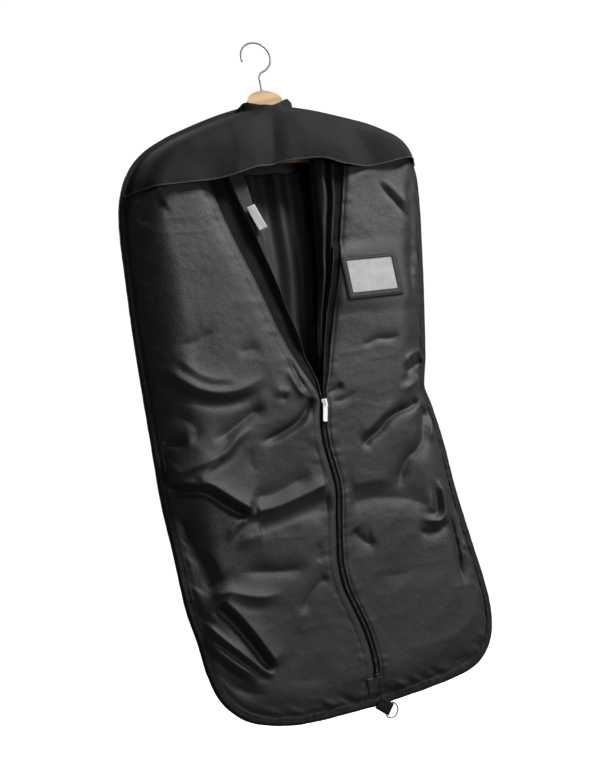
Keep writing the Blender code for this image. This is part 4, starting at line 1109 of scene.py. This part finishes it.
for side, word in ((-1, "left"), (1, "right")):
    teeth(f"coil_upper_{word}", -0.246, -0.7070, side, True, "bag_upper", f"zip_coil_upper_{word}")
    teeth(f"coil_lower_{word}", -0.7100, -1.2030, side, False, "bag_lower", f"zip_coil_lower_{word}")


# ------------------------------------------------------------------ seams beside the chain
def seam_stitches(name, side, off):
    z = np.arange(-0.245, -1.222, -0.003)
    x = panel_edge(z, side) + side * (off - 0.0052)
    y = front(x, z) - 0.0002
    V, F = stitches(np.stack([x, y, z], axis=1), front_normal(x, z))
    st = add_mesh(name, V, F, THREAD, smooth=False)
    across_fold(st)


seam_stitches("seam_stitches_left", -1, 0.0235)
seam_stitches("seam_stitches_right", 1, 0.0125)
seam_stitches("edge_stitches_left", -1, 0.0085)


# ------------------------------------------------------------------ end patch where the chain stops
def end_patch():
    u_ = np.linspace(-1, 1, 25)
    v_ = np.linspace(-1, 1, 25)
    U, W = np.meshgrid(u_, v_, indexing="ij")
    tilt = -0.10
    cx, cz = 0.0125, -1.2275
    hx, hz = 0.0150, 0.0180
    Xg = cx + U * hx + W * hz * tilt
    Zg = cz + W * hz
    Yg = front(Xg, np.clip(Zg, -1.2440, 0)) - 0.0020 + 0.0014 * step01(-Zg, 1.2360, 1.2440) + 0.0012 * (np.maximum(np.abs(U), np.abs(W)) ** 8)
    Yg = np.minimum(Yg, 0.0080)
    V = np.stack([Xg, Yg, Zg], axis=-1).reshape(-1, 3)
    F = facing_front(V, grid_faces(25, 25))
    ob = add_mesh("zip_end_cover", V, F, NYLON, body="bag_lower")
    thicken(ob, 0.0012, -1.0)
    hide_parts("zip_end_patch")
    parts = []
    for k in (0.90, 0.70):
        box = np.array([(-k, -k * 0.4), (k, -k * 0.4), (k, k), (-k, k), (-k, -k * 0.4)])
        box = even_line(box, 0.12)
        px = cx + box[:, 0] * hx + box[:, 1] * hz * tilt
        pz = cz + box[:, 1] * hz
        py = np.minimum(front(px, np.clip(pz, -1.2440, 0)) - 0.0020, 0.008) - 0.0004
        parts.append(stitches(np.stack([px, py, pz], axis=1), (0, -1, 0), 0.0024, 0.0010))
    V, F = join(parts)
    add_mesh("zip_end_stitches", V, F, THREAD, smooth=False, body="bag_lower")


end_patch()


# ------------------------------------------------------------------ inside: facings, lining, label
def facing(name, side, pts, node_):
    z = np.arange(-0.215, -0.690, -0.003)
    line = smooth_line(pts, 0.004)
    x_in = np.interp(-z, -line[:, 1], line[:, 0])
    x_out = side * (open_half(z, side) + 0.012)
    n_across = 36
    C = np.linspace(0, 1, n_across)
    Z, CC = np.meshgrid(z, C, indexing="ij")
    Xg = x_in[:, None] + (x_out - x_in)[:, None] * CC
    half = open_half(Z, side)
    y = open_y(Z) + 0.0090 + 0.06 * np.maximum(half - np.abs(Xg), 0)
    w = np.abs(x_out - x_in)[:, None] * CC
    if side > 0:
        # two soft pleats with deep lines between them, and a shaded inner edge
        line1 = np.interp(-z, [0.215, 0.288, 0.364, 0.4605, 0.545, 0.690], [0.098, 0.0850, 0.0735, 0.0545, 0.0320, 0.008])[:, None]
        q = Xg - line1 + 0.0015 * noise2(Z, Z * 0, 0.05, 91)
        y = y + 0.0110 * np.exp(-(np.abs(q) / 0.0035) ** 1.6)
        y = y - 0.0040 * np.exp(-((q - 0.0085) / 0.0050) ** 2) - 0.0050 * np.exp(-((q + 0.0110) / 0.0070) ** 2)
        y = y + 0.0130 * np.exp(-(w / 0.0060) ** 2) + 0.0090 * step01(np.abs(Xg) - half, -0.006, 0.004)
        y = y + 0.0012 * noise2(Xg, Z, 0.02, 93, (0.6, 3.0))
    else:
        y = y + 0.0014 * noise2(Xg, Z, 0.03, 92, (0.6, 2.0)) + 0.0016 * np.exp(-(w / 0.003) ** 2)
        y = y + 0.0200 * step01(np.abs(Xg) - half, -0.006, 0.003)
    V = np.stack([Xg, y, Z], axis=-1).reshape(-1, 3)
    F = facing_front(V, grid_faces(len(z), n_across))
    ob = add_mesh(name, V, F, FACING, body="bag_upper")
    thicken(ob, 0.0010, -1.0)
    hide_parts(node_)
    # stitches along its inner hem
    xs = x_in + side * 0.004
    ys = open_y(z) + 0.0090 + 0.06 * np.maximum(open_half(z, side) - np.abs(xs), 0) - 0.0006
    if side < 0:
        V, F = stitches(np.stack([xs, ys, z], axis=1), (0, -1, 0))
        add_mesh(name + "_stitches", V, F, THREAD, smooth=False, body="bag_upper")
    return ob


facing("facing_left", -1, [(-0.088, -0.205), (-0.083, -0.245), (-0.078, -0.289), (-0.070, -0.347), (-0.064, -0.389), (-0.055, -0.462),
                           (-0.044, -0.523), (-0.024, -0.600), (-0.008, -0.690)], "inner_facing_left")
facing("facing_right", 1, [(0.064, -0.205), (0.060, -0.245), (0.056, -0.270), (0.047, -0.362), (0.036, -0.4585), (0.0215, -0.543),
                           (0.0085, -0.6175), (0.003, -0.690)], "inner_facing_right")


def lining():
    xs = np.linspace(-0.215, 0.200, 130)
    zs = np.linspace(-0.262, -0.684, 110)
    Z, Xg = np.meshgrid(zs, xs, indexing="ij")
    y = 0.0075 + 0.0040 * np.sin(Xg / 0.047 * 2 * math.pi + 2.0 * noise2(Xg, Z, 0.18, 95)) * (0.4 + 0.6 * step01(Z, -0.70, -0.30))
    y = y + 0.0025 * noise2(Xg, Z, 0.06, 96, (0.6, 2.5)) - 0.008 * step01(Z, -0.55, -0.70)
    V = np.stack([Xg, y, Z], axis=-1).reshape(-1, 3)
    F = facing_front(V, grid_faces(len(zs), len(xs)))
    ob = add_mesh("lining_back", V, F, LINING, body="bag_upper")
    thicken(ob, 0.0006, -1.0)


lining()


def label():
    c = np.array((-0.073, 0.0, -0.363))
    c[1] = float(open_y(-0.363)) + 0.0040
    a = math.radians(-20)
    U, W = np.meshgrid(np.linspace(-1, 1, 13), np.linspace(-1, 1, 31), indexing="ij")
    lx, lz = U * 0.0085, W * 0.024
    px = c[0] + lx * math.cos(a) + lz * math.sin(a)
    pz = c[2] - lx * math.sin(a) + lz * math.cos(a)
    # pinned at its outer long side, lifting at the free end
    py = c[1] - 0.0010 - 0.0022 * (0.5 - 0.5 * W) ** 2 - 0.0012 * np.sin(U * 1.4 + W) * 0.6
    V = np.stack([px, py, pz], axis=-1).reshape(-1, 3)
    F = facing_front(V, grid_faces(13, 31))
    ob = add_mesh("label_tape", V, F, LABEL, body="bag_upper")
    thicken(ob, 0.0005, -1.0)
    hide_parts("care_label")


label()


# ------------------------------------------------------------------ card pocket
def pocket():
    Mx = Matrix.Translation(Vector(POCKET)) @ Matrix.Rotation(math.radians(2.6), 4, "Z") @ Matrix.Rotation(math.radians(-1.5), 4, "Y")
    T = np.array(Mx)

    def place(L):
        L = np.asarray(L, float)
        return L @ T[:3, :3].T + T[:3, 3]

    # cloth frame: a rounded rectangle ring with a soft cushion edge
    def ring_pts(hw, hh, rad, n=16):
        out = []
        for cx, cz, a0 in ((hw - rad, hh - rad, 0), (-hw + rad, hh - rad, 90), (-hw + rad, -hh + rad, 180), (hw - rad, -hh + rad, 270)):
            for a in np.linspace(a0, a0 + 90, n):
                out.append((cx + rad * math.cos(math.radians(a)), cz + rad * math.sin(math.radians(a))))
        return np.array(out)

    def dense(hw, hh, rad):
        P = ring_pts(hw, hh, rad)
        P = np.vstack([P, P[:1]])
        return even_line(P, (2 * (hw + hh) * 2) / 260)[:240] if False else _even_n(P, 240)

    def _even_n(P, n):
        s = np.r_[0, np.cumsum(np.linalg.norm(np.diff(P, axis=0), axis=1))]
        t = np.linspace(0, s[-1], n + 1)[:-1]
        return np.stack([np.interp(t, s, P[:, k]) for k in range(2)], axis=1)

    outer = _even_n(np.vstack([ring_pts(0.0590, 0.0435, 0.004), ring_pts(0.0590, 0.0435, 0.004)[:1]]), 240)
    inner = _even_n(np.vstack([ring_pts(0.0480, 0.0310, 0.002), ring_pts(0.0480, 0.0310, 0.002)[:1]]), 240)
    prof = [(0.0, 0.0010), (0.0, -0.0004), (0.04, -0.0016), (0.13, -0.0024), (0.22, -0.0018), (0.32, -0.0026), (0.58, -0.0027),
            (0.74, -0.0020), (0.86, -0.0027), (0.97, -0.0024), (1.0, -0.0015), (1.0, -0.0011)]
    k = np.arange(240)
    rows = []
    for w, yv in prof:
        q = outer * (1 - w) + inner * w
        yy = yv - 0.0004 * noise2(k * 0.0017, k * 0.0, 0.006, 97) * math.sin(math.pi * min(w, 1))
        # the top side stays open, for the card to slide out
        mouth = (q[:, 1] > 0.0305) & (np.abs(q[:, 0]) < 0.0525)
        yy = np.where(mouth, np.minimum(yy, -0.0014), yy)
        rows.append(np.stack([q[:, 0], yy, q[:, 1]], axis=1))
    V = place(np.stack(rows, axis=1).reshape(-1, 3))
    F = grid_faces(240, len(prof), wrap=True)
    ob = add_mesh("pocket_border", V, F, FRAME_CLOTH, body="bag_upper")
    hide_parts("pocket_frame")
    parts = []
    for w in (0.10, 0.30, 0.90):
        q = outer * (1 - w) + inner * w
        q = np.vstack([q, q[:1]])
        p = place(np.stack([q[:, 0], np.full(len(q), -0.0028 if w > 0.2 else -0.0023), q[:, 1]], axis=1))
        parts.append(stitches(p, tuple(T[:3, :3] @ np.array((0, -1, 0))), 0.0026, 0.0012))
    V, F = join(parts)
    add_mesh("pocket_stitches", V, F, THREAD, smooth=False, body="bag_upper")
    # the clear window, slightly buckled
    U, W = np.meshgrid(np.linspace(-0.0525, 0.0525, 40), np.linspace(-0.0360, 0.0360, 28), indexing="ij")
    yy = -0.0015 - 0.0003 * np.sin(U * 70 + 1) * np.cos(W * 90) * (1 - (np.abs(W) / 0.036) ** 4) * (1 - (np.abs(U) / 0.0525) ** 4)
    V = place(np.stack([U, yy, W], axis=-1).reshape(-1, 3))
    ob = add_mesh("pocket_pane", V, facing_front(V, grid_faces(40, 28)), VINYL, body="bag_upper")
    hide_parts("pocket_window")


pocket()


# ------------------------------------------------------------------ webbing loop
def webbing():
    at = Vector((0.0175, 0.006, -1.2555))
    a = math.radians(50)
    down = np.array((math.sin(a), 0, -math.cos(a)))
    wide = np.array((math.cos(a), 0, math.sin(a)))
    s = np.linspace(0, 1, 40)
    # a doubled strap that turns round the ring's bar
    L = 0.0238
    path = []
    for t in np.linspace(0.0, 1, 18):
        path.append((-0.002 + t * (L - 0.001), -0.0026))
    for t in np.linspace(-90, 90, 11)[1:-1]:
        path.append((L - 0.001 + 0.0026 * math.cos(math.radians(t)), 0.0026 * math.sin(math.radians(t))))
    for t in np.linspace(1, 0.0, 18):
        path.append((-0.002 + t * (L - 0.001), 0.0026))
    path = np.array(path)
    C = np.linspace(-0.5, 0.5, 15)
    rows = []
    for k, (dd, yy) in enumerate(path):
        rib = 0.00022 * math.cos(k * 2.1)
        row = []
        for c in C:
            sgn = -1 if yy < 0 else 1
            edge = 1 - 0.5 * (abs(c) * 2) ** 6
            row.append(np.array(at) + down * dd + wide * c * 0.0230 + np.array((0, yy * edge + sgn * (rib * edge), 0)))
        rows.append(row)
    V = np.array(rows).reshape(-1, 3)
    F = grid_faces(len(path), len(C))
    ob = add_mesh("webbing_strap", V, F, WEBBING, body="webbing")
    thicken(ob, 0.0013, 0.0)
    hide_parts("webbing_loop")
    parts = []
    for dd in (0.0055, 0.0150):
        P = np.array([np.array(at) + down * dd + wide * c * 0.019 + np.array((0, -0.0036, 0)) for c in np.linspace(-0.5, 0.5, 20)])
        parts.append(stitches(P, (0, -1, 0), 0.0022, 0.0009))
    for cc in (-0.5, 0.5):
        P = np.array([np.array(at) + down * dd + wide * cc * 0.019 + np.array((0, -0.0036, 0)) for dd in np.linspace(0.0055, 0.0150, 12)])
        parts.append(stitches(P, (0, -1, 0), 0.0022, 0.0009))
    V, F = join(parts)
    add_mesh("webbing_stitches", V, F, THREAD, smooth=False, body="webbing")


webbing()

# ------------------------------------------------------------------ finishes of the CAD nodes that show
FINISH = {
    "hook": CHROME_PAINTED_REFLECTION, "hook_ferrule": STEEL, "hanger_neck": BIRCH, "hanger_arm_left": BIRCH, "hanger_arm_right": BIRCH,
    "trouser_bar": BIRCH, "bar_bracket_left": STEEL, "bar_bracket_right": STEEL, "slider_body": SILVER, "pull_tab": SILVER,
    "d_ring": STEEL, "card_insert": CARD, "zip_top_stop_left": STEEL, "zip_top_stop_right": STEEL, "zip_bottom_stop": GUNMETAL,
}
for name in list(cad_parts):
    o = bpy.data.objects.get(name)
    if o is None or o.type != "MESH":
        continue
    mat = FINISH.get(name, BIND)
    if not o.material_slots:
        o.data.materials.append(mat)
    for sl in o.material_slots:
        sl.material = mat

# ------------------------------------------------------------------ stage and light
floor_me = bpy.data.meshes.new("floor")
floor_me.from_pydata([(-14, -10, -1.62), (14, -10, -1.62), (14, 22, -1.62), (-14, 22, -1.62)], [], [(0, 1, 2, 3)])
floor = bpy.data.objects.new("floor", floor_me)
scene.collection.objects.link(floor)
fm, nt, b = new_material("floor_white")
nt.links.new(ramp(nt, noise(nt, coords(nt), 0.8, 2.0), [(0.3, (0.90, 0.90, 0.90)), (0.7, (0.93, 0.93, 0.93))]), b.inputs["Base Color"])
b.inputs["Roughness"].default_value = 0.9
b.inputs["Specular IOR Level"].default_value = 0.1
b.inputs["Emission Color"].default_value = (1, 1, 1, 1)
# the floor glows though it is no lamp: painted light, from 0.5 near the bag, where the key's real shadow can still
# show, up to full white far off; diffuse and glossy rays don't see it
flat = coords(nt, (1, 1, 0))
span = nt.nodes.new("ShaderNodeVectorMath")
span.operation = "LENGTH"
nt.links.new(flat, span.inputs[0])
rng = nt.nodes.new("ShaderNodeMapRange")
rng.interpolation_type = "SMOOTHSTEP"
rng.inputs["From Min"].default_value, rng.inputs["From Max"].default_value = 0.9, 2.6
rng.inputs["To Min"].default_value, rng.inputs["To Max"].default_value = 0.50, 1.06
nt.links.new(span.outputs["Value"], rng.inputs["Value"])
nt.links.new(rng.outputs["Result"], b.inputs["Emission Strength"])
floor_me.materials.append(fm)
floor.visible_diffuse = False
floor.visible_glossy = False
floor.visible_transmission = False

world = bpy.data.worlds.new("world")
scene.world = world
world.use_nodes = True
wt = world.node_tree
bg = wt.nodes["Background"]
bg.inputs["Color"].default_value = (1, 1, 1, 1)
bg.inputs["Strength"].default_value = 0.08
seen = wt.nodes.new("ShaderNodeBackground")
seen.inputs["Color"].default_value = (1, 1, 1, 1)
seen.inputs["Strength"].default_value = 1.05
lp = wt.nodes.new("ShaderNodeLightPath")
mixw = wt.nodes.new("ShaderNodeMixShader")
wt.links.new(lp.outputs["Is Camera Ray"], mixw.inputs["Fac"])
wt.links.new(bg.outputs[0], mixw.inputs[1])
wt.links.new(seen.outputs[0], mixw.inputs[2])
wt.links.new(mixw.outputs[0], wt.nodes["World Output"].inputs["Surface"])


def area(name, loc, aim, size, power, color=(1, 1, 1)):
    L = bpy.data.lights.new(name, "AREA")
    L.shape = "RECTANGLE"
    L.size, L.size_y = size
    L.energy = power
    L.color = color
    o = bpy.data.objects.new(name, L)
    scene.collection.objects.link(o)
    o.location = loc
    o.rotation_euler = (Vector(aim) - Vector(loc)).to_track_quat("-Z", "Y").to_euler()
    return o


area("key", (2.30, -1.95, 2.25), (0.0, 0.0, -0.65), (1.2, 1.2), 196)
area("low_fill", (1.4, -3.2, -1.1), (0.0, 0.0, -1.0), (1.6, 1.0), 22)
area("back_light", (-0.6, 2.4, 1.4), (0, 0, -0.7), (2.2, 1.6), 55)
scene.view_settings.view_transform = "Standard"
scene.view_settings.look = "None"

bpy.context.view_layer.update()
